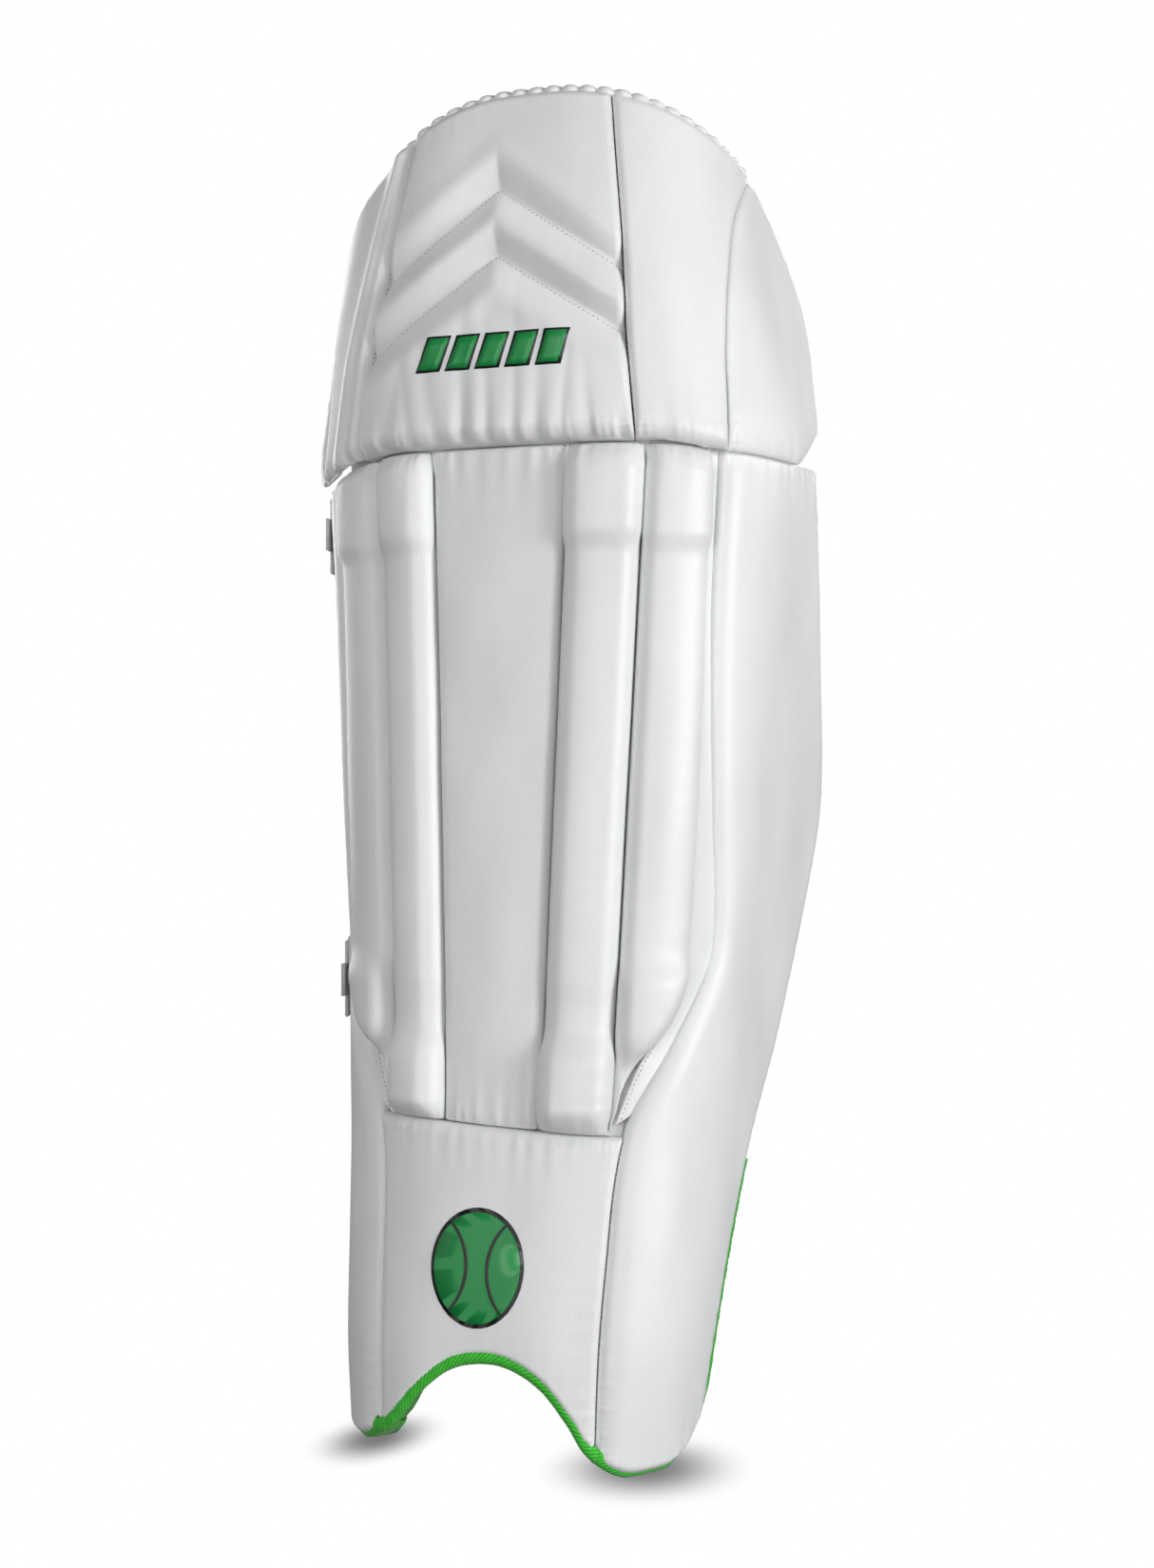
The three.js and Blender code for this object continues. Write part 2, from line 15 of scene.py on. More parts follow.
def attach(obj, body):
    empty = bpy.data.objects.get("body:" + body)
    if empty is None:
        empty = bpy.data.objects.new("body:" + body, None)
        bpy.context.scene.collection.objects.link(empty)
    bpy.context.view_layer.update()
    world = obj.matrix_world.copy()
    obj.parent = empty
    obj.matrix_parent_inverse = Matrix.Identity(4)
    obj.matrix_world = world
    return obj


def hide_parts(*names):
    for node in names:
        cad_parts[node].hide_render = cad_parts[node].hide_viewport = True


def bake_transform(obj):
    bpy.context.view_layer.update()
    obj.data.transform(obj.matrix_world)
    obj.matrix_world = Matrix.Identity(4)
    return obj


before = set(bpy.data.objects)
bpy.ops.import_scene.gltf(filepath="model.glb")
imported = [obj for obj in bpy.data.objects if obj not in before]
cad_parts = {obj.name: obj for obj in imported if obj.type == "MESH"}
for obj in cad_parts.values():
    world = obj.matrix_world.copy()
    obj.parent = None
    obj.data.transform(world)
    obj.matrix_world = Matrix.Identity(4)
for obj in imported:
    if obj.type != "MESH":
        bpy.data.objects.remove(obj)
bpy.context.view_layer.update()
MM = 0.001

# ---- Driving dimensions, in millimetres, as in the frame ----
FLAT, BEND, TURN = 12.0, 140.0, math.radians(80)
SIDE_SHIFT, DEPTH_SHIFT = -5.9, 76.8
ANKLE_Z, KNEE_Z = 153.0, 464.0
ROLL_SPLIT = 61.0
KNEE_FOAM_REACH = 57.0
FLOOR = -11.5
COVER_THICK = 1.1
LINING = (-17.6, -15.9)
STRAPS = {"upper": 435.0, "lower": 212.0}
STRAP_HEIGHT, STRAP_THICK = 38.0, 1.8
BINDING_TOP = 131.0
OUTER_CORNER, INNER_CORNER = 156.0, 121.0
INNER_TOE = 5.0
# Each toe's soft shadow on the floor: its centre, its reach along x and y in metres, and how dark it is.
TOE_SHADOWS = (((-0.061, -0.068), (0.034, 0.056), 0.8), ((0.072, -0.068), (0.056, 0.064), 0.8))
CHEVRON_TURN, CHEVRON_DEPTH = 2.0, 5.6
CENTRE_LEAN = 3.0
PUFF_PITCH = 10.0


# ---- Small mathematics ----
def lerp(p, q, t):
    return p + (q - p) * t


def smooth(t):
    t = np.clip(t, 0.0, 1.0)
    return t * t * (3 - 2 * t)


def through(points):
    """A smooth function through a few points, given as (x, y) with x increasing."""
    xs, ys = np.array(points, float).T
    low = np.maximum(np.arange(len(xs)) - 1, 0)
    high = np.minimum(np.arange(len(xs)) + 1, len(xs) - 1)
    tangents = (ys[high] - ys[low]) / (xs[high] - xs[low])

    def value(x):
        x = np.clip(x, xs[0], xs[-1])
        i = np.clip(np.searchsorted(xs, x, side="right") - 1, 0, len(xs) - 2)
        width = xs[i + 1] - xs[i]
        t = (x - xs[i]) / width
        start = ys[i] * (1 + 2 * t) * (1 - t) ** 2 + tangents[i] * width * t * (1 - t) ** 2
        end = ys[i + 1] * t * t * (3 - 2 * t) - tangents[i + 1] * width * t * t * (1 - t)
        return start + end

    return value


def ripple(seed, pitch):
    """A smooth random wave from 0 to 1 along a line, about one crest each pitch."""
    draws = np.random.default_rng(seed)
    lengths = pitch * draws.uniform(0.7, 1.9, 6)
    phases = draws.uniform(0, 2 * math.pi, 6)

    def value(s):
        s = np.asarray(s, float)
        total = sum(np.sin(2 * math.pi * s / length + phase) for length, phase in zip(lengths, phases))
        return np.clip(0.5 + total / 6, 0, 1)

    return value


def swell(seed, size):
    """Soft random unevenness over a surface, about -1 to 1."""
    draws = np.random.default_rng(seed)
    angles = draws.uniform(0, math.pi, 7)
    lengths = size * draws.uniform(0.7, 1.6, 7)
    phases = draws.uniform(0, 2 * math.pi, 7)

    def value(u, z):
        total = 0.0
        for angle, length, phase in zip(angles, lengths, phases):
            total = total + np.sin(2 * math.pi * (u * math.cos(angle) + z * math.sin(angle)) / length + phase)
        return total / 3.5

    return value


def rounded(distance, radius, power=2.0):
    """0 at an edge, rising on a quarter round to 1 at radius from it."""
    t = np.clip(distance / radius, 0.0, 1.0)
    return np.sqrt(np.clip(1 - (1 - t) ** power, 0, 1))


# ---- The wrap ----
def turn_at(u):
    return np.sign(u) * TURN * smooth((np.abs(u) - FLAT) / BEND)


STEPS = np.arange(0, 240) + 0.5
SECTION_X = np.concatenate([[0], np.cumsum(np.cos(turn_at(STEPS)))])
SECTION_Y = np.concatenate([[0], np.cumsum(np.sin(turn_at(STEPS)))])
SECTION_U = np.arange(0, 241)


class Wrap:
    def __init__(self, scale, front):
        self.scale = scale
        self.front = front

    def place(self, u, z, n):
        """Points in metres, one row for each (u, z, n)."""
        u, z, n = np.broadcast_arrays(np.asarray(u, float), np.asarray(z, float), np.asarray(n, float))
        turn = turn_at(u)
        scale = self.scale(z)
        x = scale * np.sign(u) * np.interp(np.abs(u), SECTION_U, SECTION_X) + n * np.sin(turn)
        y = scale * np.interp(np.abs(u), SECTION_U, SECTION_Y) + self.front(z) - n * np.cos(turn)
        return np.stack([x - SIDE_SHIFT, y - DEPTH_SHIFT, z], axis=-1) * MM


SHIN = Wrap(
    scale=lambda z: 0.788 + 0.000723 * z,
    front=through([(0, -28), (54, -26), (160, -11), (300, -4.5), (KNEE_Z, 0)]),
)
KNEE = Wrap(
    scale=lambda z: 1.15 - 0.002 * (z - 467),
    front=lambda z: -8 + np.where(z > 500, 0.0007 * (z - 500) ** 2, 0),
)


# ---- Outlines ----
def centre_edge(z):
    return lerp(25.5, 30.0, (z - ANKLE_Z) / (KNEE_Z - ANKLE_Z))


roll_edge = through([(ANKLE_Z, 65), (180, 76), (206, 92), (228, 98), (300, 97), (KNEE_Z, 90)])
wing_front = through([(0, 68), (90, 66), (ANKLE_Z, 70), (190, 92), (226, 113), (250, 114), (300, 106),
                      (380, 97), (KNEE_Z, 94)])
outer_back = through([(0, 151), (20, 156), (130, 171), (190, 193), (270, 212), (310, 212), (400, 187),
                      (KNEE_Z, 169)])
inner_back = through([(0, 150), (20, 154), (130, 162), (190, 172), (270, 182), (310, 182), (400, 168),
                      (KNEE_Z, 156)])
knee_top = through([(-160, 530), (-105, 575), (-74, 596), (-49, 616), (-16, 627), (16, 629), (48, 628),
                    (79, 624), (110, 616), (140, 607), (170, 598)])
outer_knee_seam = through([(KNEE_Z, 96), (481, 99), (508, 104), (543, 115), (572, 130), (600, 160)])
inner_knee_seam = through([(KNEE_Z, 96), (508, 101), (543, 112), (572, 128), (600, 150)])
outer_knee_back = through([(KNEE_Z, 169), (492, 178), (520, 189), (545, 192), (575, 181), (600, 164)])
inner_knee_back = through([(KNEE_Z, 156), (492, 162), (520, 166), (545, 160), (575, 150)])


arch_at = through([(-68, 12), (-57, 18), (-38, 34), (-19, 46), (0, 50), (17, 48.5), (36, 40), (52, 25),
                   (60, 15), (68, 8.5)])


def ankle_at(u):
    """Height of the seam over the instep, which drops a little towards the outer side."""
    return ANKLE_Z - 0.045 * np.asarray(u, float)


def toe_at(a, ground):
    """Height of a wing's toe, from its front edge (0) to its back edge (1)."""
    a = np.asarray(a, float)
    front = np.where(a < 0.3, 8 * (1 - a / 0.3) ** 2, 0)
    return ground + front + 26 * (np.clip(a - 0.5, 0, 1) / 0.5) ** 2.5


def upper_chevron(u):
    return 581 - 0.68 * np.abs(u)


def lower_chevron(u):
    return 550 - 0.68 * np.abs(u)


def constant(value):
    return lambda at: np.full_like(np.asarray(at, float), value)


def flat_at(n):
    """A face at one height over the wrap."""
    return lambda u, *others: n + 0 * u


# ---- Materials ----
MATERIALS = {}


class Nodes:
    """A short way to build a material's nodes."""

    def __init__(self, name, colour, roughness):
        self.material = bpy.data.materials.new(name)
        self.material.use_nodes = True
        self.tree = self.material.node_tree
        self.shader = self.tree.nodes["Principled BSDF"]
        self.shader.inputs["Base Color"].default_value = (*colour, 1)
        self.shader.inputs["Roughness"].default_value = roughness
        MATERIALS[name] = self.material

    def add(self, kind, **inputs):
        node = self.tree.nodes.new(kind)
        for key, value in inputs.items():
            node.inputs[key.replace("_", " ")].default_value = value
        return node

    def link(self, source, target):
        self.tree.links.new(source, target)

    def wrap_map(self, scale):
        """Wrap coordinates in millimetres, multiplied by scale."""
        where = self.tree.nodes.new("ShaderNodeUVMap")
        where.uv_map = "wrap"
        mapping = self.add("ShaderNodeMapping", Scale=scale)
        self.link(where.outputs["UV"], mapping.inputs["Vector"])
        return mapping.outputs["Vector"]

    def noise(self, scale, detail=2.0, roughness=0.5):
        node = self.add("ShaderNodeTexNoise", Scale=1.0, Detail=detail, Roughness=roughness)
        self.link(self.wrap_map(scale), node.inputs["Vector"])
        return node.outputs["Fac"]

    def wave(self, scale, distortion=0.0, direction="X"):
        node = self.add("ShaderNodeTexWave", Scale=1.0, Distortion=distortion)
        node.bands_direction = direction
        self.link(self.wrap_map(scale), node.inputs["Vector"])
        return node.outputs["Fac"]

    def ramp(self, source, stops):
        node = self.tree.nodes.new("ShaderNodeValToRGB")
        elements = node.color_ramp.elements
        while len(elements) < len(stops):
            elements.new(0.5)
        for element, (position, colour) in zip(elements, stops):
            element.position = position
            element.color = (*colour, 1)
        self.link(source, node.inputs["Fac"])
        return node.outputs["Color"]

    def combine(self, operation, first, second):
        node = self.tree.nodes.new("ShaderNodeMath")
        node.operation = operation
        for socket, value in zip(node.inputs, (first, second)):
            if isinstance(value, (int, float)):
                socket.default_value = value
            else:
                self.link(value, socket)
        return node.outputs["Value"]

    def mix(self, *parts):
        """The weighted sum of some (source, weight) parts."""
        total, *others = [self.combine("MULTIPLY", source, weight) for source, weight in parts]
        for other in others:
            total = self.combine("ADD", total, other)
        return total

    def bump(self, height, depth_mm, strength=1.0):
        node = self.add("ShaderNodeBump", Strength=strength, Distance=depth_mm * MM)
        self.link(height, node.inputs["Height"])
        self.link(node.outputs["Normal"], self.shader.inputs["Normal"])


def make_cover(name, colour):
    """Satin white coated fabric: fine upright grain, faint mottling and a soft sheen."""
    nodes = Nodes(name, colour, 0.42)
    grain = nodes.noise((2.6, 0.16, 1), 3.0, 0.6)
    pores = nodes.noise((1.7, 1.3, 1), 2.0)
    patches = nodes.noise((0.03, 0.012, 1), 2.0)
    tone = nodes.mix((grain, 0.35), (patches, 0.65))
    darker = tuple(channel * 0.9 for channel in colour)
    nodes.link(nodes.ramp(tone, [(0.3, darker), (0.6, colour)]), nodes.shader.inputs["Base Color"])
    gloss = nodes.ramp(nodes.mix((pores, 0.5), (patches, 0.5)), [(0.3, (0.36,) * 3), (0.7, (0.5,) * 3)])
    nodes.link(gloss, nodes.shader.inputs["Roughness"])
    nodes.bump(nodes.mix((grain, 0.7), (pores, 0.3)), 0.12, 0.55)
    nodes.shader.inputs["Sheen Weight"].default_value = 0.12
    nodes.shader.inputs["Specular IOR Level"].default_value = 0.4


def make_woven(name, colour, dark, pitch, roughness=0.8, depth=0.25, sheen=0.25):
    """A woven tape: crossing yarns with a slight change of tone between them."""
    nodes = Nodes(name, colour, roughness)
    across = nodes.wave((1 / pitch / 3.14, 0, 1), 0.4, "X")
    along = nodes.wave((0, 1 / pitch / 3.14, 1), 0.4, "Y")
    weave = nodes.combine("MULTIPLY", across, along)
    fuzz = nodes.noise((1.5, 1.5, 1), 2.0)
    tone = nodes.mix((weave, 0.7), (fuzz, 0.3))
    nodes.link(nodes.ramp(tone, [(0.15, dark), (0.6, colour)]), nodes.shader.inputs["Base Color"])
    nodes.bump(tone, depth, 0.8)
    nodes.shader.inputs["Sheen Weight"].default_value = sheen


def make_twill(name, colour, dark, pitch, depth=0.3):
    """A ribbed twill tape: slanting ribs of yarn."""
    nodes = Nodes(name, colour, 0.72)
    ribs = nodes.wave((1 / pitch / 3.14, 0.8 / pitch / 3.14, 1), 0.6, "DIAGONAL")
    yarn = nodes.wave((2.2 / pitch / 3.14, -1.8 / pitch / 3.14, 1), 0.4, "DIAGONAL")
    fuzz = nodes.noise((2.0, 2.0, 1), 2.0)
    tone = nodes.mix((ribs, 0.55), (yarn, 0.2), (fuzz, 0.25))
    nodes.link(nodes.ramp(tone, [(0.2, dark), (0.65, colour)]), nodes.shader.inputs["Base Color"])
    nodes.bump(tone, depth, 0.9)
    nodes.shader.inputs["Sheen Weight"].default_value = 0.2


def make_towelling(name, colour):
    """Brushed towelling: small loops of pile."""
    nodes = Nodes(name, colour, 0.95)
    loops = nodes.noise((1.1, 1.1, 1), 3.0, 0.65)
    clouds = nodes.noise((0.05, 0.05, 1), 2.0)
    tone = nodes.mix((loops, 0.6), (clouds, 0.4))
    darker = tuple(channel * 0.72 for channel in colour)
    nodes.link(nodes.ramp(tone, [(0.3, darker), (0.62, colour)]), nodes.shader.inputs["Base Color"])
    nodes.bump(loops, 0.6, 0.9)
    nodes.shader.inputs["Sheen Weight"].default_value = 0.4


def make_speckled(name, colour, dark, roughness, size, depth):
    """Plain moulded, foamed or printed stock: a fine speckle in tone and relief."""
    nodes = Nodes(name, colour, roughness)
    speckle = nodes.noise((1 / size, 1 / size, 1), 3.0, 0.6)
    nodes.link(nodes.ramp(speckle, [(0.3, dark), (0.65, colour)]), nodes.shader.inputs["Base Color"])
    nodes.bump(speckle, depth, 0.6)


WHITE = (0.80, 0.81, 0.815)
make_cover("cover", WHITE)
# The stitching's dark grey is partly the thread's colour and partly painted shade of the stitch holes.
make_speckled("thread_and_painted_hole_shade", (0.30, 0.30, 0.31), (0.12, 0.12, 0.13), 0.7, 0.3, 0.05)
make_twill("green_tape", (0.055, 0.62, 0.035), (0.02, 0.33, 0.012), 1.1)
make_towelling("towelling", (0.80, 0.80, 0.78))
make_woven("elastic", (0.78, 0.78, 0.77), (0.5, 0.5, 0.5), 1.0)
make_speckled("loop_pile", (0.72, 0.72, 0.71), (0.4, 0.4, 0.4), 1.0, 0.5, 0.5)
make_speckled("foam", (0.72, 0.66, 0.48), (0.5, 0.45, 0.3), 0.95, 0.9, 0.3)
make_speckled("board", (0.06, 0.065, 0.07), (0.03, 0.03, 0.035), 0.6, 1.2, 0.1)
make_speckled("print_green", (0.012, 0.30, 0.07), (0.008, 0.22, 0.05), 0.45, 0.5, 0.03)
make_speckled("print_black", (0.012, 0.013, 0.012), (0.006, 0.006, 0.006), 0.45, 0.5, 0.03)


# ---- Mesh making ----
def make_object(name, points, faces, uvs, material):
    """A smooth-shaded mesh object; uvs gives each vertex's wrap coordinates in millimetres."""
    mesh = bpy.data.meshes.new(name)
    mesh.from_pydata([tuple(p) for p in points], [], [tuple(f) for f in faces])
    layer = mesh.uv_layers.new(name="wrap")
    corners = np.empty(len(mesh.loops), dtype=np.int32)
    mesh.loops.foreach_get("vertex_index", corners)
    layer.data.foreach_set("uv", np.asarray(uvs, float)[corners].ravel())
    mesh.shade_smooth()
    mesh.materials.append(MATERIALS[material])
    obj = bpy.data.objects.new(name, mesh)
    bpy.context.scene.collection.objects.link(obj)
    return obj


def grid_faces(columns, rows, start=0, flip=False, closed=False):
    i, j = np.meshgrid(np.arange(columns if closed else columns - 1), np.arange(rows - 1))
    here = start + j * columns + i
    right = start + j * columns + (i + 1) % columns
    quads = np.stack([here, right, right + columns, here + columns], axis=-1).reshape(-1, 4)
    return (quads[:, ::-1] if flip else quads).tolist()


def settle(obj, body, slot, *nodes):
    """Fixes a finished piece to its body and hides the nodes it stands for; its finish, slot, is not used."""
    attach(obj, body)
    if nodes:
        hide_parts(*nodes)
    return obj


def crowded(count, pull):
    """Stations from 0 to 1, closer together at both ends."""
    t = np.linspace(0, 1, count)
    return t - pull * np.sin(2 * math.pi * t) / (2 * math.pi)


class Patch:
    """A region of the wrap between two side edges, u at a height, and two ends, z at a share across."""

    def __init__(self, wrap, left, right, bottom, top, side=1):
        self.wrap, self.side = wrap, side
        self.left, self.right, self.bottom, self.top = left, right, bottom, top

    def at(self, a, b):
        z = lerp(self.bottom(a), self.top(a), b)
        return lerp(self.left(z), self.right(z), a), z

    def lay(self, a, b):
        """u, z and the distances to the left, right, bottom and top edges, in millimetres."""
        u, z = self.at(a, b)
        scale = self.wrap.scale(z)
        distances = []
        for edge, sign in ((self.left, 1), (self.right, -1)):
            slope = (edge(z + 1) - edge(z - 1)) / 2 * scale
            distances.append(sign * (u - edge(z)) * scale / np.sqrt(1 + slope ** 2))
        step = 0.01
        across = (self.at(a + step, b)[0] - self.at(a - step, b)[0]) * scale
        for edge, sign in ((self.bottom, 1), (self.top, -1)):
            slope = (edge(a + step) - edge(a - step)) / np.maximum(np.abs(across), 0.1)
            distances.append(sign * (z - edge(a)) / np.sqrt(1 + slope ** 2))
        return u, z, np.maximum(np.stack(distances), 0)

    def points(self, u, z, n):
        return self.wrap.place(self.side * u, z, n)


def oblong(wrap, left, right, low, high, side=1):
    """A patch between two distances round the leg and two heights."""
    return Patch(wrap, constant(left), constant(right), constant(low), constant(high), side)


def cover(name, patch, height, columns, rows, floor=None, spread=None, material="cover"):
    """A sewn panel: its face at height(u, z, distances), and walls down to its floor at all four edges.

    spread(u, z, distances, n) moves the face sideways, where it swells out over its neighbours.
    """
    a, b = np.meshgrid(crowded(columns, 0.75), crowded(rows, 0.6))
    u, z, gaps = patch.lay(a, b)
    n = height(u, z, gaps)
    base = np.full_like(n, FLOOR) if floor is None else floor(u, z)
    if spread is not None:
        u = u + spread(u, z, gaps, n)
    ring = np.pad(n, 1, mode="edge")
    u, z, base = (np.pad(values, 1, mode="edge") for values in (u, z, base))
    ring[[0, -1], :] = base[[0, -1], :]
    ring[:, [0, -1]] = base[:, [0, -1]]
    ring = np.where(ring < base, base, ring)
    points = patch.points(u, z, ring).reshape(-1, 3)
    uvs = np.stack([u * patch.wrap.scale(z), z], axis=-1).reshape(-1, 2)
    faces = grid_faces(columns + 2, rows + 2, flip=patch.side < 0)
    obj = make_object(name, points, faces, uvs, material)
    weld(obj)
    skin = obj.modifiers.new("skin", "SOLIDIFY")
    skin.thickness = COVER_THICK * MM
    skin.offset = -1
    return obj


def padded_cover(name, patch, height, size, body, node, fill, **options):
    """A cover fixed to its body in place of its node, which it hides; fill, how tightly it is filled, is not
    used.
    """
    skin = cover(name, patch, height, *size, **options)
    settle(skin, body, "cover", node)
    return skin


def weld(obj):
    """Merges the coincident corners of a mesh and drops what that leaves flat."""
    shape = bmesh.new()
    shape.from_mesh(obj.data)
    bmesh.ops.remove_doubles(shape, verts=shape.verts, dist=0.00002)
    bmesh.ops.recalc_face_normals(shape, faces=shape.faces)
    shape.to_mesh(obj.data)
    shape.free()
    obj.data.shade_smooth()


def block(name, patch, top, bottom, columns, rows, material, margin=0.0):
    """A closed pad between two faces, top(u, z, distances) and bottom(u, z, distances)."""
    spread = [crowded(count, 0.6) * (1 - 2 * margin) + margin for count in (columns, rows)]
    a, b = np.meshgrid(*spread)
    u, z, gaps = patch.lay(a, b)
    faces, points = [], []
    for k, face in enumerate((top, bottom)):
        points.append(patch.points(u, z, face(u, z, gaps)).reshape(-1, 3))
        faces += grid_faces(columns, rows, k * columns * rows, flip=(k == 1) == (patch.side > 0))
    edge = [j * columns for j in range(rows)][::-1] + list(range(1, columns))
    edge += [j * columns + columns - 1 for j in range(1, rows)]
    edge += [(rows - 1) * columns + i for i in range(columns - 2, 0, -1)]
    under = columns * rows
    for p, q in zip(edge, edge[1:] + edge[:1]):
        wall = [p, p + under, q + under, q]
        faces.append(wall if patch.side > 0 else wall[::-1])
    uvs = np.tile(np.stack([u * patch.wrap.scale(z), z], axis=-1).reshape(-1, 2), (2, 1))
    obj = make_object(name, np.concatenate(points), faces, uvs, material)
    weld(obj)
    return obj


def sweep(name, rings, lengths, girths, material):
    """A closed bar through a list of rings of points, capped at both ends."""
    count = len(rings[0])
    points = np.concatenate(rings)
    faces = grid_faces(count, len(rings), closed=True)
    faces.append(list(range(count))[::-1])
    faces.append([(len(rings) - 1) * count + k for k in range(count)])
    uvs = [(girth, length) for length in lengths for girth in girths]
    obj = make_object(name, points, faces, uvs, material)
    weld(obj)
    return obj


def along(path, pitch):
    """Points spaced evenly by pitch along a (u, z) path, with the unit direction at each."""
    path = np.asarray(path, float)
    steps = np.linalg.norm(np.diff(path, axis=0), axis=1)
    run = np.concatenate([[0], np.cumsum(steps)])
    stops = np.arange(pitch / 2, run[-1], pitch)
    spots = np.stack([np.interp(stops, run, path[:, k]) for k in (0, 1)], axis=-1)
    ahead = np.stack([np.interp(stops + 0.3, run, path[:, k]) for k in (0, 1)], axis=-1)
    behind = np.stack([np.interp(stops - 0.3, run, path[:, k]) for k in (0, 1)], axis=-1)
    heading = ahead - behind
    return spots, heading / np.maximum(np.linalg.norm(heading, axis=1, keepdims=True), 1e-9)


def run_along(points):
    """The distance covered at each point of a line."""
    return np.concatenate([[0], np.cumsum(np.linalg.norm(np.diff(points, axis=0), axis=1))])


def upright(u_at, low, high, count, side=1):
    """A (u, z) path up a seam whose distance round the leg is u_at(z)."""
    z = np.linspace(low, high, count)
    return np.stack([side * u_at(z), z], axis=-1)


def stitches(name, wrap, path, height, body, slot="cover", pitch=2.3, length=1.35, width=0.5):
    """A row of sewing stitches: short rounded stitches of thread, end to end along a seam, their dark grey
    partly the thread's colour and partly painted shade of the stitch holes.
    """
    spots, heading = along(path, pitch)
    points, faces, uvs = [], [], []
    shape = [(-0.5, 0, 0), (0, 0.5, 0), (0.5, 0, 0), (0, -0.5, 0), (0, 0, 0.5), (0, 0, -0.5)]
    sides = [(0, 1), (1, 2), (2, 3), (3, 0)]
    for spot, way in zip(spots, heading):
        start = len(points)
        for l, w, h in shape:
            u = spot[0] + way[0] * l * length - way[1] * w * width
            z = spot[1] + way[1] * l * length + way[0] * w * width
            n = height(u, z) if callable(height) else height
            points.append(wrap.place(u, z, n + h * width))
            uvs.append((u, z))
        for p, q in sides:
            faces.append([start + q, start + p, start + 4])
            faces.append([start + p, start + q, start + 5])
    obj = make_object(name, points, faces, uvs, "thread_and_painted_hole_shade")
    return settle(obj, body, slot)


# ---- Surfaces of the covers ----
FINE = ripple(11, 4.2)
COARSE = ripple(12, 10.0)
UNEVEN = swell(13, 55.0)
BROAD = swell(14, 120.0)


def pillow(top, edges, radii, dome=0.0, puckers=(0.15, 0.15, 0.5, 0.5), seed=0.0):
    """A crowned face: rounded down to its seams, with small puckers where the stitching pulls.

    edges, radii and puckers are for the left, right, bottom and top seam: its height, how far in the
    face rounds up from it, and how strongly it is gathered.
    """

    def height(u, z, gaps):
        crown = top(u, z)
        levels = [edge(u, z) if callable(edge) else edge for edge in edges]
        drops = [(crown - level) * (1 - rounded(gap, radius))
                 for level, gap, radius in zip(levels, gaps, radii)]
        deepest = crown - np.minimum.reduce([level + 0 * u for level in levels])
        n = crown - np.minimum(np.sqrt(sum(drop ** 2 for drop in drops)), deepest)
        across = (gaps[0] - gaps[1]) / np.maximum(gaps[0] + gaps[1], 1)
        n = n + dome * (1 - across ** 2)
        for gap, where, pucker in zip(gaps, (z, z + 31, u + 57, u + 83), puckers):
            near = np.exp(-gap / 4.5) * (1 - np.exp(-gap / 1.2))
            n = n - 1.6 * pucker * near * (FINE(where + seed) - 0.5)
            n = n - 1.3 * pucker * np.exp(-gap / 9) * (1 - np.exp(-gap / 3)) * (COARSE(where + seed) - 0.5)
        return n + 0.16 * UNEVEN(u + seed, z) + 0.2 * BROAD(u, z + seed)

    return height


def knee_seam_at(u):
    """Height of the seam under the knee section, which drops a little round the inner side."""
    return KNEE_Z - 7.5 * smooth((-u - 45) / 60) - 2 * smooth((u - 60) / 80)


def under_knee(side, start, end):
    """The top edge of a shin piece, just under the knee seam."""
    return lambda a: knee_seam_at(side * lerp(start, end, a)) - 0.3


def bulge(z, centre, half, soft):
    """1 inside a stretch of height, falling off softly beyond it."""
    return smooth((half + soft - np.abs(z - centre)) / soft)


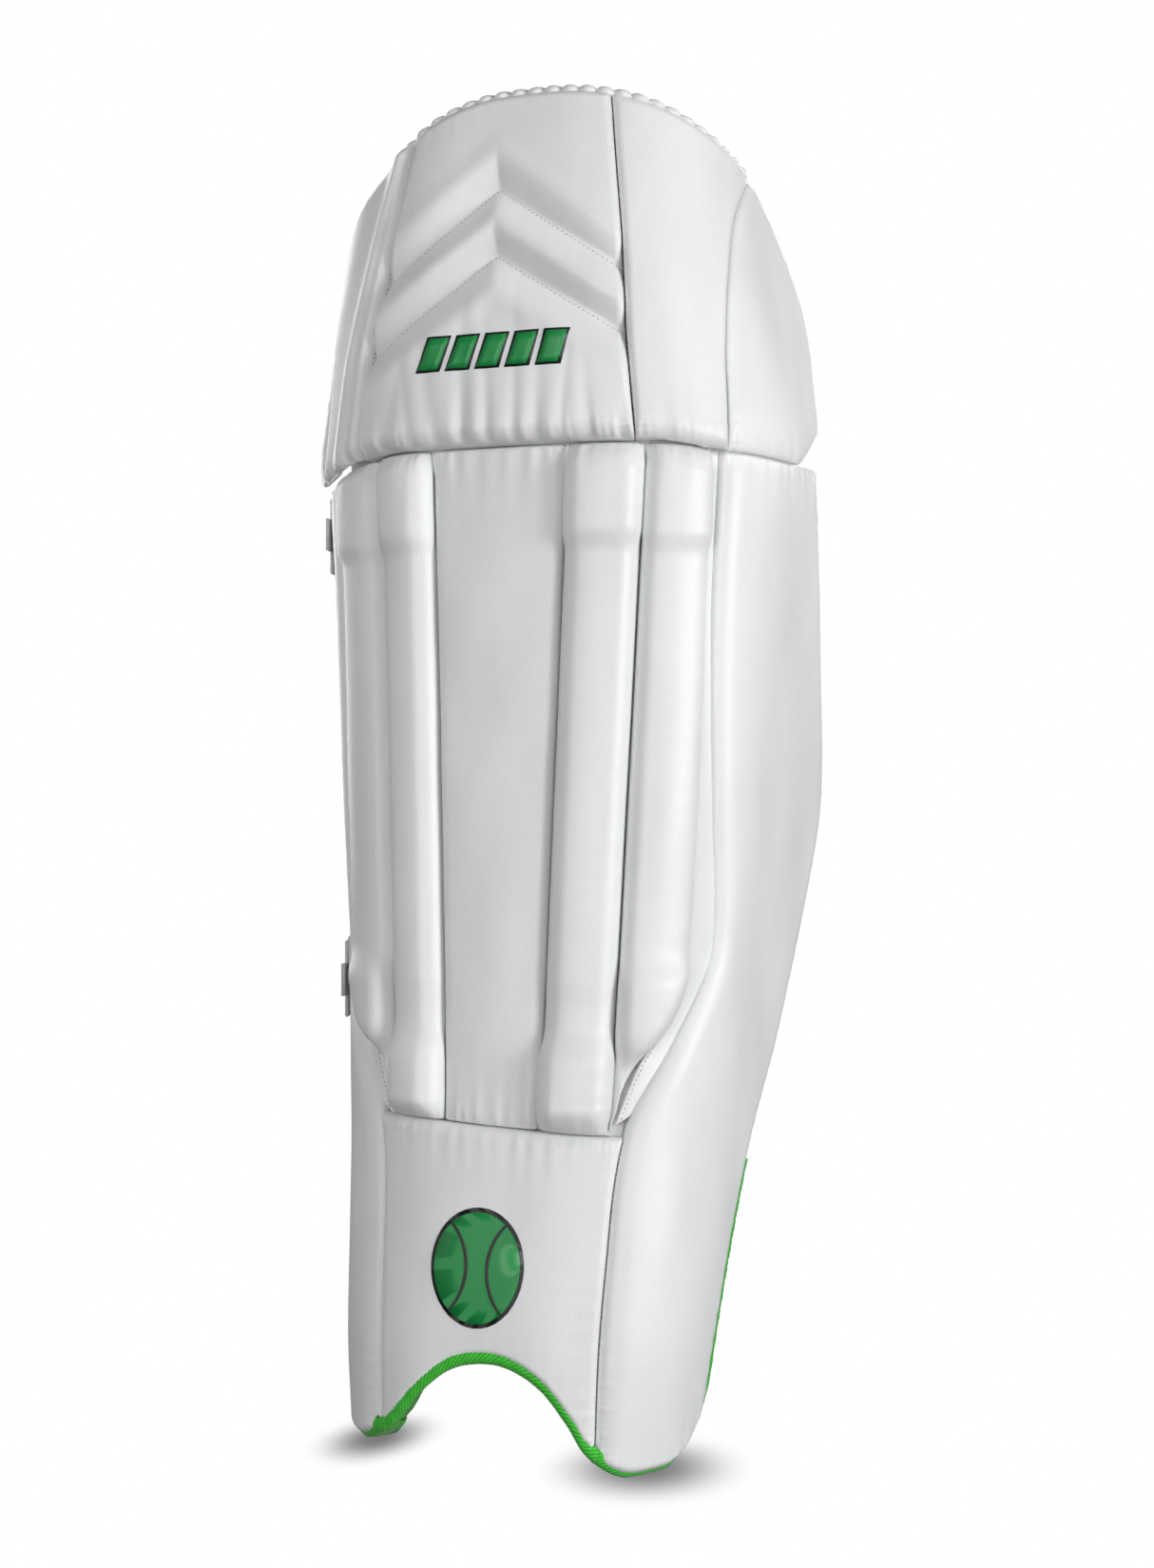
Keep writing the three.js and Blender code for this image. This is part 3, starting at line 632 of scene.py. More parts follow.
def add_shin():
    """The front of the shin: a centre panel and two rolls each side, with thick blocks at the roll ends."""
    centre = Patch(
        SHIN, lambda z: 0.3 - centre_edge(z) - CENTRE_LEAN, lambda z: centre_edge(z) - CENTRE_LEAN - 0.3,
        lambda a: ankle_at(lerp(-29, 23, a)) + 0.3, under_knee(1, -33, 27),
    )
    face = pillow(flat_at(-2.6), (-5.4, -6.8, -4.6, -3.6), (5, 5, 7, 7), 1.6, (0.2, 0.1, 0.8, 0.9), 5)
    padded_cover("shin_centre_cover_skin", centre, face, (54, 200), "shin", "shin_centre_cover", 0.6)
    foam(centre, face, "shin_centre_foam", "shin", 12, 40)

    def inner_swell(u, z):
        return bulge(z, 439, 13, 13) * 3.4 + bulge(z, 173, 9, 17) * 4.6 - bulge(z, 205, 3, 12) * 0.8

    def outer_swell(u, z):
        flat_end = 5.0 * smooth((191 - z) / 12)
        return bulge(z, 437, 13, 13) * 3.0 + bulge(z, 207, 9, 17) * 3.4 - flat_end

    plans = ((1, -1, "outer"), (2, -1, "inner"), (3, 1, "inner"), (4, 1, "outer"))
    for number, side, row in plans:
        if row == "inner":
            patch = Patch(SHIN, lambda z, side=side: centre_edge(z) - side * CENTRE_LEAN + 0.5,
                          constant(ROLL_SPLIT - 0.4),
                          lambda a, side=side: ankle_at(side * lerp(27, 61, a)) + 0.3,
                          under_knee(side, 30, ROLL_SPLIT), side)
            swelling, edges, radii = inner_swell, (-7, -7, -4.6, -3.6), (10, 10, 11, 8)
        else:
            patch = Patch(SHIN, constant(ROLL_SPLIT + 0.4), lambda z: roll_edge(z) - 0.4,
                          lambda a, side=side: ankle_at(side * 62) + lerp(2, 40, np.clip(a, 0, 1)),
                          under_knee(side, ROLL_SPLIT, 90), side)
            swelling, edges, radii = outer_swell, (-7, -4.6, -4.6, -3.6), (10, 8, 10, 8)
        face = pillow(lambda u, z, swelling=swelling: 1.2 + swelling(u, z), edges, radii, 2.0,
                      (0.15, 0.3, 0.8, 1.0), 40.0 * number)

        def spread(u, z, gaps, n, swelling=swelling):
            across = (gaps[0] - gaps[1]) / np.maximum(gaps[0] + gaps[1], 1)
            return 0.42 * swelling(u, z) * across * smooth((n + 7) / 6)

        padded_cover(f"roll_skin_{number}", patch, face, (44, 210), "shin", f"roll_cover_{number}", 0.85,
                     spread=spread)
        foam(patch, face, f"roll_foam_{number}", "shin", 12, 44)
        if row == "outer":
            path = upright(lambda z: roll_edge(z) - 0.1, 196, 452, 90, side)
            stitches(f"roll_stitches_{number}", SHIN, path, -4.3, "shin")
            path = upright(lambda z: roll_edge(z) + 0.3, ANKLE_Z + 2, 196, 24, side)
            stitches(f"corner_stitches_{number}", SHIN, path, -4.3, "shin")

    for name, side in (("outer", 1), ("inner", -1)):
        channel = Patch(
            SHIN, lambda z: roll_edge(z) - 1.2, lambda z: wing_front(z) + 3,
            lambda a: lerp(ANKLE_Z + 2, ANKLE_Z + 8, a), under_knee(side, 90, 98), side,
        )
        flat = pillow(flat_at(-4.4), (-4.9, -4.9, -5, -4), (2, 2, 3, 3), 0.0, (0.1, 0.1, 0.3, 0.5), 9)
        settle(cover(f"groove_skin_{name}", channel, flat, 14, 160), "shin", "cover")
    base = Patch(SHIN, lambda z: 0.5 - wing_front(z), lambda z: wing_front(z) - 0.5,
                 lambda a: arch_at((2 * a - 1) * 64) + 6, under_knee(1, -94, 94))
    sheet = block("front_scrim", base, flat_at(-9.4), flat_at(-10.4), 60, 60, "cover")
    settle(sheet, "shin", "cover")


def foam(patch, face, node, body, columns, rows, drop=2.6):
    """The foam under a cover, following the cover's face a little below it."""

    def top(u, z, gaps):
        return np.maximum(face(u, z, gaps) - drop, FLOOR + 1)

    piece = block(f"{node}_pad", patch, top, flat_at(FLOOR), columns, rows, "foam", 0.04)
    settle(piece, body, "foam", node)


def add_instep():
    """The instep panel with the ankle seam over it and a seam each side."""
    patch = Patch(SHIN, lambda z: 0.4 - wing_front(z), lambda z: wing_front(z) - 0.4,
                  lambda a: arch_at((2 * a - 1) * 67) + 3.2, lambda a: ankle_at(lerp(-70, 70, a)) - 0.3)
    face = pillow(flat_at(0.4), (-3.2, -2.6, -2.2, -3.8), (6, 4, 3, 6), 0.3, (0.4, 0.3, 0.1, 0.5), 3)
    padded_cover("instep_skin", patch, face, (120, 90), "shin", "instep_cover", 0.5)
    foam(patch, face, "instep_foam", "shin", 26, 20)
    across = np.linspace(-62, 62, 80)
    stitches("ankle_stitches", SHIN, np.stack([across, ankle_at(across) + 0.1], axis=-1), -4.0, "shin")
    for side, name in ((1, "outer"), (-1, "inner")):
        path = upright(lambda z: wing_front(z) + 0.2, 22, 148, 60, side)
        stitches(f"instep_stitches_{name}", SHIN, path, -3.2, "shin")


def add_wing(name, side, back, ground, body):
    """A side wing: one long panel from the knee seam to the toe, with its lining behind."""
    patch = Patch(
        SHIN, lambda z: wing_front(z) + 0.5, lambda z: back(z) - 1.5,
        lambda a: toe_at(np.clip(a, 0, 1), ground) + 1.8, under_knee(side, 94, 168), side,
    )

    def level(u, z):
        return 1.6 - 0.8 * smooth((z - 438) / 26)

    face = pillow(level, (-4.4, -5, -3.6, -2.6), (11, 9, 4, 9), 0.5, (0.2, 0.3, 0.3, 0.8), 21)
    padded_cover(f"wing_{name}_skin", patch, face, (110, 300), body, f"wing_{name}_cover", 0.7)
    foam(patch, face, f"wing_{name}_foam", body, 24, 60)
    lining = Patch(SHIN, lambda z: wing_front(z) + 2, lambda z: back(z) + 0.6,
                   lambda a: toe_at(np.clip(a, 0, 1), ground) + 1.8, constant(KNEE_Z - 10), side)
    quilted_lining(f"wing_{name}_lining", lining, (-12.4, -14.6), body, 50, 150)


def quilted_lining(node, patch, levels, body, columns, rows):
    """Towelling lining, a little uneven where it lies over the padding."""
    high, low = max(levels), min(levels)

    def back_face(u, z, gaps):
        soft = rounded(np.minimum.reduce(gaps), 5)
        return low + 0.5 - soft * (0.5 + 0.35 * (UNEVEN(u, z) + 1))

    piece = block(f"{node}_cloth", patch, flat_at(high), back_face, columns, rows, "towelling")
    settle(piece, body, "lining", node)


def tape(name, path, inward, levels, body, node, tuck=0.0, wide=None):
    """An edging tape folded round a panel's edge: path and inward give (u, z) along it.

    tuck is how much further in the edge lies at the back than at the front, and wide how many times
    wider than usual the tape is at each point.
    """
    high, low = levels
    wall, leg = 1.3, 5.6
    outside = [
        (high + 0.5, leg), (high + wall, leg - 0.6), (high + wall + 0.5, leg * 0.5), (high + wall, 0.4),
        (high - 0.2, -wall), (lerp(high, low, 0.5), -wall * 1.25), (low + 0.2, -wall), (low - wall, 0.4),
        (low - wall - 0.4, leg * 0.5), (low - wall, leg - 0.6), (low - 0.5, leg),
    ]
    inside = [(low, leg - 0.4), (low, 0.4), (lerp(high, low, 0.5), 0), (high, 0.4), (high, leg - 0.4)]
    section = [(n, w + tuck * (high - n) / (high - low)) for n, w in outside + inside]
    girths = run_along(np.array(section))
    spots = np.asarray(path, float)
    ways = np.asarray(inward, float)
    lengths = run_along(spots)
    rings = []
    widths = wide if wide is not None else np.ones(len(spots))
    for (u, z), (du, dz), run, width in zip(spots, ways, lengths, widths):
        ease = 0.12 * math.sin(run * 2.1) + 0.1 * math.sin(run * 0.63)
        ring = []
        for k, (n, w) in enumerate(section):
            reach = w * width if w > 0 else w
            ring.append(SHIN.place(u + du * reach, z + dz * reach, n + (ease if k < len(outside) else 0)))
        rings.append(np.array(ring))
    return settle(sweep(name, rings, lengths, girths, "green_tape"), body, "binding", node)


def edge_frame(points):
    """The unit directions to the left of a (u, z) path, which is into the panel."""
    points = np.asarray(points, float)
    heading = np.gradient(points, axis=0)
    heading /= np.linalg.norm(heading, axis=1, keepdims=True)
    return np.stack([-heading[:, 1], heading[:, 0]], axis=-1)


def resample(points, pitch):
    points = np.asarray(points, float)
    run = run_along(points)
    stops = np.linspace(0, run[-1], max(int(run[-1] / pitch), 3))
    return np.stack([np.interp(stops, run, points[:, k]) for k in (0, 1)], axis=-1)


def add_bindings():
    """Green tape round the arch, the toes and the lower back edges of the wings."""
    u = np.linspace(-67.5, 67.5, 120)
    arch = resample(np.stack([u, arch_at(u)], axis=-1), 1.5)
    tape("instep_tape", arch, edge_frame(arch), (-1.6, -17.8), "shin", "instep_binding", tuck=5.5)
    plans = (("outer", 1, outer_back, 0.0, "wing_outer"), ("inner", -1, inner_back, INNER_TOE, "wing_inner"))
    for name, side, back, ground, body in plans:
        a = np.linspace(0, 0.985, 90)
        toe_z = toe_at(a, ground) + 1.3
        toe = np.stack([lerp(wing_front(toe_z) - 0.3, back(toe_z) - 1, a), toe_z], axis=-1)
        z = np.linspace(34, BINDING_TOP, 60)
        rear = np.stack([back(z) - 0.2, z], axis=-1)
        path = resample(np.concatenate([toe, rear]), 1.5)
        for _ in range(6):
            path[1:-1] = (path[:-2] + 2 * path[1:-1] + path[2:]) / 4
        ways = edge_frame(path)
        path[:, 1] = np.maximum(path[:, 1], ground + 1.65)
        wide = 1 + 0.75 * smooth((path[:, 0] - 110) / 45)
        if side < 0:
            path, ways, wide = (path * [-1, 1])[::-1], (ways * [-1, 1])[::-1], wide[::-1]
        tape(f"wing_{name}_tape", path, ways, (-1.6, -14.8), body, f"wing_{name}_binding", wide=wide)


# ---- Knee section ----
def knee_floor(u, z):
    """The knee panels are thin at the hem, where they slide over the tops of the wings."""
    behind = smooth((np.abs(u) - 58) / 14)
    return FLOOR + behind * (9.4 - 9.4 * smooth((z - KNEE_Z - 8) / 34))


def knee_hem(u, z):
    """Height of the knee section's lower edge: tucked in over the shin, proud of the wings."""
    return lerp(-4.6, -3.0, smooth((np.abs(u) - 55) / 45))


def above_seam(side, start, end):
    """The lower edge of a knee piece: just over the knee seam, then lapped over the wing.

    Towards the back it rises clear of the wing and strap, so that the knee can tilt.
    """
    rise_from = 140 if side > 0 else 104

    def edge(a):
        u = lerp(start, end, a)
        lap = 2.8 * smooth((np.abs(u) - 62) / 30)
        return knee_seam_at(side * u) + 0.3 - lap + 24 * smooth((u - rise_from) / 40)

    return edge


def fold_lines(u, z):
    """Upright gathers over the knee seam, fading upwards."""
    folds = 0.0
    draws = np.random.default_rng(5)
    up = z - knee_seam_at(u)
    for place in (-49, -36, -25, -13, -2, 9, 18, 27, 39, 52, 70, 86, 108, 130, -72, -86):
        lean = draws.uniform(-0.2, 0.2)
        width = draws.uniform(1.8, 3.6)
        reach = draws.uniform(15, 32)
        depth = draws.uniform(0.9, 2.0)
        line = place + lean * up
        groove = np.exp(-((u - line) / width) ** 2) - 0.45 * np.exp(-((u - line - 5.5) / (1.5 * width)) ** 2)
        folds = folds + depth * groove * np.exp(-up / reach)
    return folds


def chevron_relief(u, z):
    """Two sewn chevrons: a valley on each seam with soft shoulders, and a short crease over each point."""
    relief = 0.0
    beside = np.sqrt(u ** 2 + CHEVRON_TURN ** 2)
    for line in (upper_chevron, lower_chevron):
        up = (z - line(beside) - 0.68 * CHEVRON_TURN) * math.cos(math.atan(0.68))
        above = np.exp(-(np.abs(up) / 6.5) ** 1.2)
        below = np.exp(-(np.abs(up) / 7.5) ** 1.2)
        relief = relief - CHEVRON_DEPTH * np.where(up > 0, above, below)
        relief = relief + 1.3 * np.exp(-((up + 14) / 6) ** 2) + 1.0 * np.exp(-((up - 14) / 6) ** 2)
        relief = relief - 0.9 * np.exp(-(np.abs(u) / 1.5)) * np.exp(-np.abs(up - 4) / 5)
    return relief


inner_split = through([(464, 66), (509, 65), (555, 59), (610, 52)])
outer_split = through([(464, 57), (509, 58), (555, 60.5), (620, 61)])
inner_ridge = through([(464, 76), (509, 75), (555, 68), (600, 60)])


def add_knee():
    """The knee face with its chevrons, the panel each side of it and the bolsters behind."""
    inner_low, inner_high = float(inner_split(KNEE_Z)), float(inner_split(610))
    outer_low, outer_high = float(outer_split(KNEE_Z)), float(outer_split(620))
    face_patch = Patch(KNEE, lambda z: 0.3 - inner_split(z), lambda z: outer_split(z) - 0.3,
                       above_seam(1, -inner_low, outer_low),
                       lambda a: knee_top(lerp(-inner_high, outer_high, a)) - 2.5)
    plain = pillow(flat_at(3.2), (-3.4, -1.2, knee_hem, -5), (5, 4, 9, 5), 0.6,
                   (0.2, 0.3, 0.8, 0.15), 61)

    def face(u, z, gaps):
        return np.maximum(plain(u, z, gaps) + chevron_relief(u, z), -5.2) - fold_lines(u, z)

    front = padded_cover("knee_face_skin", face_patch, face, (170, 210), "knee", "knee_face_cover", 0.8)
    bands = {
        "knee_lower_foam": (lambda u: KNEE_Z + 4 + 0 * u, lambda u: lower_chevron(u) - 2),
        "knee_chevron_foam": (lambda u: lower_chevron(u) + 1, lambda u: upper_chevron(u) - 2),
        "knee_top_foam": (lambda u: upper_chevron(u) + 1, lambda u: knee_top(u) - 7),
    }
    for node, (low, high) in bands.items():
        reach = KNEE_FOAM_REACH
        patch = Patch(KNEE, constant(-reach), constant(reach),
                      lambda a, low=low, reach=reach: low(lerp(-reach, reach, a)),
                      lambda a, high=high, reach=reach: high(lerp(-reach, reach, a)))
        foam(patch, pillow(flat_at(0.6), (-6, -6, -6, -6), (5, 5, 8, 8)), node, "knee", 31, 14)

    plans = (
        ("outer", 1, outer_split, outer_low, outer_high, outer_knee_seam, OUTER_CORNER, -1.2),
        ("inner", -1, inner_split, inner_low, inner_high, inner_knee_seam, INNER_CORNER, -3.4),
    )
    for name, side, split, low, high, seam, corner, seam_depth in plans:
        patch = Patch(
            KNEE, lambda z, split=split: split(z) + 0.3, lambda z, seam=seam: seam(z) - 0.4,
            above_seam(side, low, 96),
            lambda a, side=side, high=high, corner=corner: knee_top(side * lerp(high, corner, a)) - 2.5, side,
        )
        plain = pillow(flat_at(2.6), (seam_depth, -1.2, knee_hem, -5), (4, 5, 9, 6),
                       0.4, (0.3, 0.2, 0.6, 0.3), 70)

        def side_face(u, z, gaps, plain=plain, side=side):
            n = plain(u, z, gaps) - 0.5 * fold_lines(side * u, z)
            if side < 0:
                past = u - inner_ridge(z)
                n = n + 1.5 * np.exp(-(past / 2.6) ** 2)
                n = n - 2.0 * smooth((past - 1) / 9) * smooth((28 - past) / 20)
            return n

        padded_cover(f"knee_side_skin_{name}", patch, side_face, (80, 190), "knee",
                     f"knee_side_cover_{name}", 0.75, floor=knee_floor)
        inside = Patch(KNEE, patch.left, patch.right, constant(KNEE_Z + 30), patch.top, side)
        foam(inside, plain, f"knee_side_foam_{name}", "knee", 16, 30)
        path = upright(split, KNEE_Z + 3, 622 if side > 0 else 606, 90, side)
        stitches(f"knee_seam_stitches_{name}", KNEE, path, seam_depth + 0.3, "knee")

    on_face = surface_under(front, KNEE)
    for name, line in (("upper", upper_chevron), ("lower", lower_chevron)):
        u = np.linspace(-60, 60, 121)
        path = np.stack([u, line(u)], axis=-1)
        stitches(f"chevron_stitches_{name}", KNEE, path, on_face, "knee", pitch=2.5)

    whole = Patch(
        KNEE, lambda z: 2 - inner_knee_seam(z), lambda z: outer_knee_seam(z) - 2,
        constant(KNEE_Z + 8), lambda a: knee_top(lerp(-INNER_CORNER, OUTER_CORNER, a)) - 8,
    )
    quilted_lining("knee_lining", whole, LINING, "knee", 90, 80)
    for name, (low, high) in {"lower": (484, 518), "middle": (524, 556), "upper": (562, 590)}.items():
        patch = oblong(KNEE, -78, 78, low, high)
        bolster(f"knee_bolster_{name}", patch, 10.5, "knee", 110, 40)


def bolster(node, patch, depth, body, columns, rows):
    """A stuffed towelling bolster sewn to the lining, with its seam puckered round the edge."""

    def back_face(u, z, gaps):
        left, right, low, high = gaps
        crown = rounded(left, 12) * rounded(right, 12) * rounded(low, 11) * rounded(high, 11)
        pull = 1.2 * np.exp(-np.minimum.reduce(gaps) / 6) * (FINE(u + z) - 0.5)
        return LINING[0] - 1.8 - depth * crown + pull

    piece = block(f"{node}_pad", patch, flat_at(LINING[0] - 1.3), back_face, columns, rows, "towelling")
    settle(piece, body, "lining", node)


def add_knee_wings():
    """The parts of the knee section behind its curved seams, with a free hem over the wings."""
    plans = (
        ("outer", 1, outer_knee_seam, outer_knee_back, lambda a: lerp(599.5, 592, a), 11),
        ("inner", -1, inner_knee_seam, inner_knee_back,
         lambda a: knee_top(-lerp(INNER_CORNER, 152, a)) - 3, 17),
    )
    for name, side, seam, back, crest, seed in plans:
        body = f"knee_wing_{name}"
        patch = Patch(KNEE, lambda z, seam=seam: seam(z) + 0.4, lambda z, back=back: back(z) - 0.5,
                      above_seam(side, 98, 168), crest, side)
        face = pillow(flat_at(1.6), (-1.2, -4, knee_hem, -4), (6, 9, 18, 7), 0.3,
                      (0.3, 0.3, 0.5, 0.3), seed)
        padded_cover(f"knee_wing_{name}_skin", patch, face, (80, 150), body, f"knee_wing_{name}_cover", 0.7,
                     floor=knee_floor)
        inside = Patch(KNEE, patch.left, patch.right, lambda a: KNEE_Z + 14 + 26 * a, crest, side)
        foam(inside, face, f"knee_wing_{name}_foam", body, 18, 24)
        lining = Patch(KNEE, lambda z, seam=seam: seam(z) + 2.5, lambda z, back=back: back(z) - 0.5,
                       lambda a: KNEE_Z + 12 + 26 * a, crest, side)
        quilted_lining(f"knee_wing_{name}_lining", lining, (-12.4, -14.6), body, 34, 50)
        path = upright(seam, KNEE_Z + 3, float(crest(0.0)) - 4, 60, side)
        stitches(f"knee_wing_stitches_{name}", KNEE, path, -1.2, "knee")


def add_knee_edge():
    """The gathered white edging over the top of the knee section, a row of small puffs."""
    u = np.linspace(-62, OUTER_CORNER + 3, 260)
    step = 0.8
    path = resample(np.stack([u, knee_top(u)], axis=-1), step)
    run = np.arange(len(path)) * step
    puff = np.abs(np.sin(math.pi * run / PUFF_PITCH)) ** 0.55
    ends = smooth(run / 5) * smooth((run[-1] - run) / 5)
    around = np.linspace(0, 2 * math.pi, 18, endpoint=False)
    rings = []
    heading = edge_frame(path)
    for (pu, pz), (du, dz), swelling, end in zip(path, heading, puff, ends):
        size = (0.72 + 0.36 * swelling) * (0.5 + 0.5 * end)
        ring = []
        for angle in around:
            across = -9.0 + 10.0 * size * math.cos(angle)
            up = -2.8 + 3.6 * size * math.sin(angle)
            ring.append(KNEE.place(pu + du * up, pz + dz * up, across))
        rings.append(np.array(ring))
    edge = sweep("knee_top_edging", rings, run, around * 6.5, "cover")
    settle(edge, "knee", "cover", "knee_top_binding")


def add_hinge_web():
    """The strip of cover behind the knee seam, baked in place, and the stitches along the knee hem."""
    patch = Patch(SHIN, constant(-92), constant(92), lambda a: knee_seam_at(lerp(-92, 92, a)) - 10,
                  lambda a: knee_seam_at(lerp(-92, 92, a)) + 10)
    web = block("knee_hinge_web", patch, flat_at(-5.4), flat_at(-6.4), 120, 24, "cover")
    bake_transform(web)
    u = np.linspace(-94, 150, 200)
    seam = np.stack([u, knee_seam_at(u) - 0.4], axis=-1)
    stitches("knee_hem_stitches", SHIN, seam[u < 92], -3.6, "shin", width=0.4)


# ---- Linings, straps and badges ----
def add_shin_lining():
    """The towelling lining of the shin with its two upright bolsters."""
    edge = lambda z: wing_front(z) - 2.5
    patch = Patch(SHIN, lambda z: -edge(z), edge,
                  lambda a: arch_at((2 * a - 1) * 63) + 5, constant(KNEE_Z - 4))
    quilted_lining("shin_lining", patch, LINING, "shin", 90, 170)
    for name, side in (("inner", -1), ("outer", 1)):
        cushion = oblong(SHIN, 16, 56, 178, 350, side)
        bolster(f"shin_bolster_{name}", cushion, 12, "shin", 46, 120)


def ribbon(name, plan, low, high, thick, material):
    """A flat woven band standing on edge, with slightly thickened selvedges."""
    plan = np.asarray(plan, float)
    heading = np.gradient(plan, axis=0)
    heading /= np.linalg.norm(heading, axis=1, keepdims=True)
    sides = np.stack([heading[:, 1], -heading[:, 0]], axis=-1)
    heights = [0, 0.03, 0.08, 0.5, 0.92, 0.97, 1]
    swell_at = [0.55, 1, 0.86, 0.86, 0.86, 1, 0.55]
    front = list(zip(heights, swell_at))
    section = front + [(h, -s) for h, s in front[::-1]]
    girths = [h * (high - low) for h, _ in section]
    lengths = run_along(plan)
    rings = []
    for spot, side in zip(plan, sides):
        ring = [[*(spot + side * s * thick / 2), lerp(low, high, h)] for h, s in section]
        rings.append(np.array(ring) * MM)
    return sweep(name, rings, lengths, girths, material)


def smooth_route(points, count):
    """An even walk along a smooth curve through the points."""
    points = np.asarray(points, float)
    knots = np.concatenate([[0], np.cumsum(np.linalg.norm(np.diff(points, axis=0), axis=1) ** 0.5)])
    curves = [through(list(zip(knots, points[:, k]))) for k in (0, 1)]
    fine = np.linspace(0, knots[-1], 600)
    return resample_to(np.stack([curve(fine) for curve in curves], axis=-1), count)


def resample_to(points, count):
    run = run_along(points)
    stops = np.linspace(0, run[-1], count)
    return np.stack([np.interp(stops, run, points[:, k]) for k in (0, 1)], axis=-1)


def add_strap(name, z):
    """One elastic strap: sewn anchor, band round the calf, hook patch, loop patch and pull tab."""
    low, high = z - STRAP_HEIGHT / 2, z + STRAP_HEIGHT / 2
    hinge = max(float(outer_back(low)), float(outer_back(high))) + 3
    body = f"strap_{name}"

    def plan(u, n):
        return SHIN.place(u, z, n)[:2] / MM

    start, end = plan(hinge, -15), plan(4 - float(inner_back(z)), 7.6)
    rear = start[1] + 48
    route = [
        start, (start[0] - 8, start[1] + 20), (start[0] * 0.62, rear - 6), (0, rear + 6),
        (end[0] * 0.62, rear - 6), (end[0] - 2, end[1] + 34), end, plan(-147, 7.4), plan(-138, 6.8),
    ]
    band = ribbon(f"{name}_band", smooth_route(route, 150), low, high, STRAP_THICK, "elastic")
    settle(band, body, "strap", f"{name}_strap_band")
    hook = [plan(u, 5.0) for u in (-156, -150, -145, -140)]
    settle(ribbon(f"{name}_hooks", hook, low + 3, high - 3, 1.4, "loop_pile"), body, "hook_and_loop",
           f"{name}_hook_patch")
    tab = [plan(u, 6.9) for u in (-139, -136, -133, -130)]
    settle(ribbon(f"{name}_tab", tab, z - 8, z + 8, 2.0, "elastic"), body, "strap", f"{name}_pull_tab")
    pile = oblong(SHIN, 128, float(inner_back(z)) - 6, low - 3, high + 3, -1)
    patch = block(f"{name}_loops", pile, lambda u, z, g: 2.4 + 1.2 * rounded(np.minimum.reduce(g), 1.5),
                  flat_at(1.6), 24, 30, "loop_pile")
    settle(patch, "wing_inner", "hook_and_loop", f"{name}_loop_patch")
    sewn = oblong(SHIN, hinge - 48, hinge - 12, low - 2, high + 2)
    anchor = block(f"{name}_anchor", sewn, flat_at(-15.2),
                   lambda u, z, g: -16.6 - 1.2 * rounded(np.minimum.reduce(g), 1.5), 22, 26, "elastic")
    settle(anchor, "wing_outer", "strap", f"{name}_strap_anchor")
    inset = 3.0
    near, far = hinge - 48 + inset, hinge - 12 - inset
    bottom, top = low + inset, high - inset
    corners = [(near, bottom), (far, bottom), (far, top), (near, top), (near, bottom)]
    stitches(f"{name}_anchor_stitches", SHIN, corners, -18.1, "wing_outer", "strap", 3.0, 2.0, 0.6)


def surface_under(obj, wrap):
    """Gives the height of an object's outer surface over the wrap at (u, z)."""
    mesh = obj.data
    tree = BVHTree.FromPolygons([vertex.co for vertex in mesh.vertices],
                                [polygon.vertices for polygon in mesh.polygons])

    def height(u, z):
        high, low = (Vector(wrap.place(u, z, n)) for n in (15.0, -10.0))
        hit = tree.ray_cast(high, (low - high).normalized())
        return 15.0 - hit[3] / MM if hit[0] else 0.0

    return height


def print_shape(name, wrap, outline, level, material, node=None):
    """A printed film: a flat shape with the given (u, z) outline, laid on the cover."""
    shape = bmesh.new()
    ring = [shape.verts.new((u, z, 0)) for u, z in outline]
    shape.faces.new(ring)
    bmesh.ops.triangulate(shape, faces=shape.faces)
    bmesh.ops.subdivide_edges(shape, edges=shape.edges, cuts=3, use_grid_fill=True)
    flat = bpy.data.meshes.new(name)
    shape.to_mesh(flat)
    shape.free()
    places = np.array([vertex.co[:2] for vertex in flat.vertices])
    faces = [list(polygon.vertices) for polygon in flat.polygons]
    bpy.data.meshes.remove(flat)
    points = wrap.place(places[:, 0], places[:, 1], np.array([level(u, z) for u, z in places]))
    obj = make_object(name, points, faces, places, material)
    film = obj.modifiers.new("film", "SOLIDIFY")
    film.thickness = 0.12 * MM
    film.offset = 0
    body = "shin" if wrap is SHIN else "knee"
    return settle(obj, body, "badge", *([node] if node else []))


def circle(centre, radius, count=40):
    angles = np.linspace(0, 2 * math.pi, count, endpoint=False)
    return [(centre[0] + radius * math.cos(angle), centre[1] + radius * math.sin(angle)) for angle in angles]


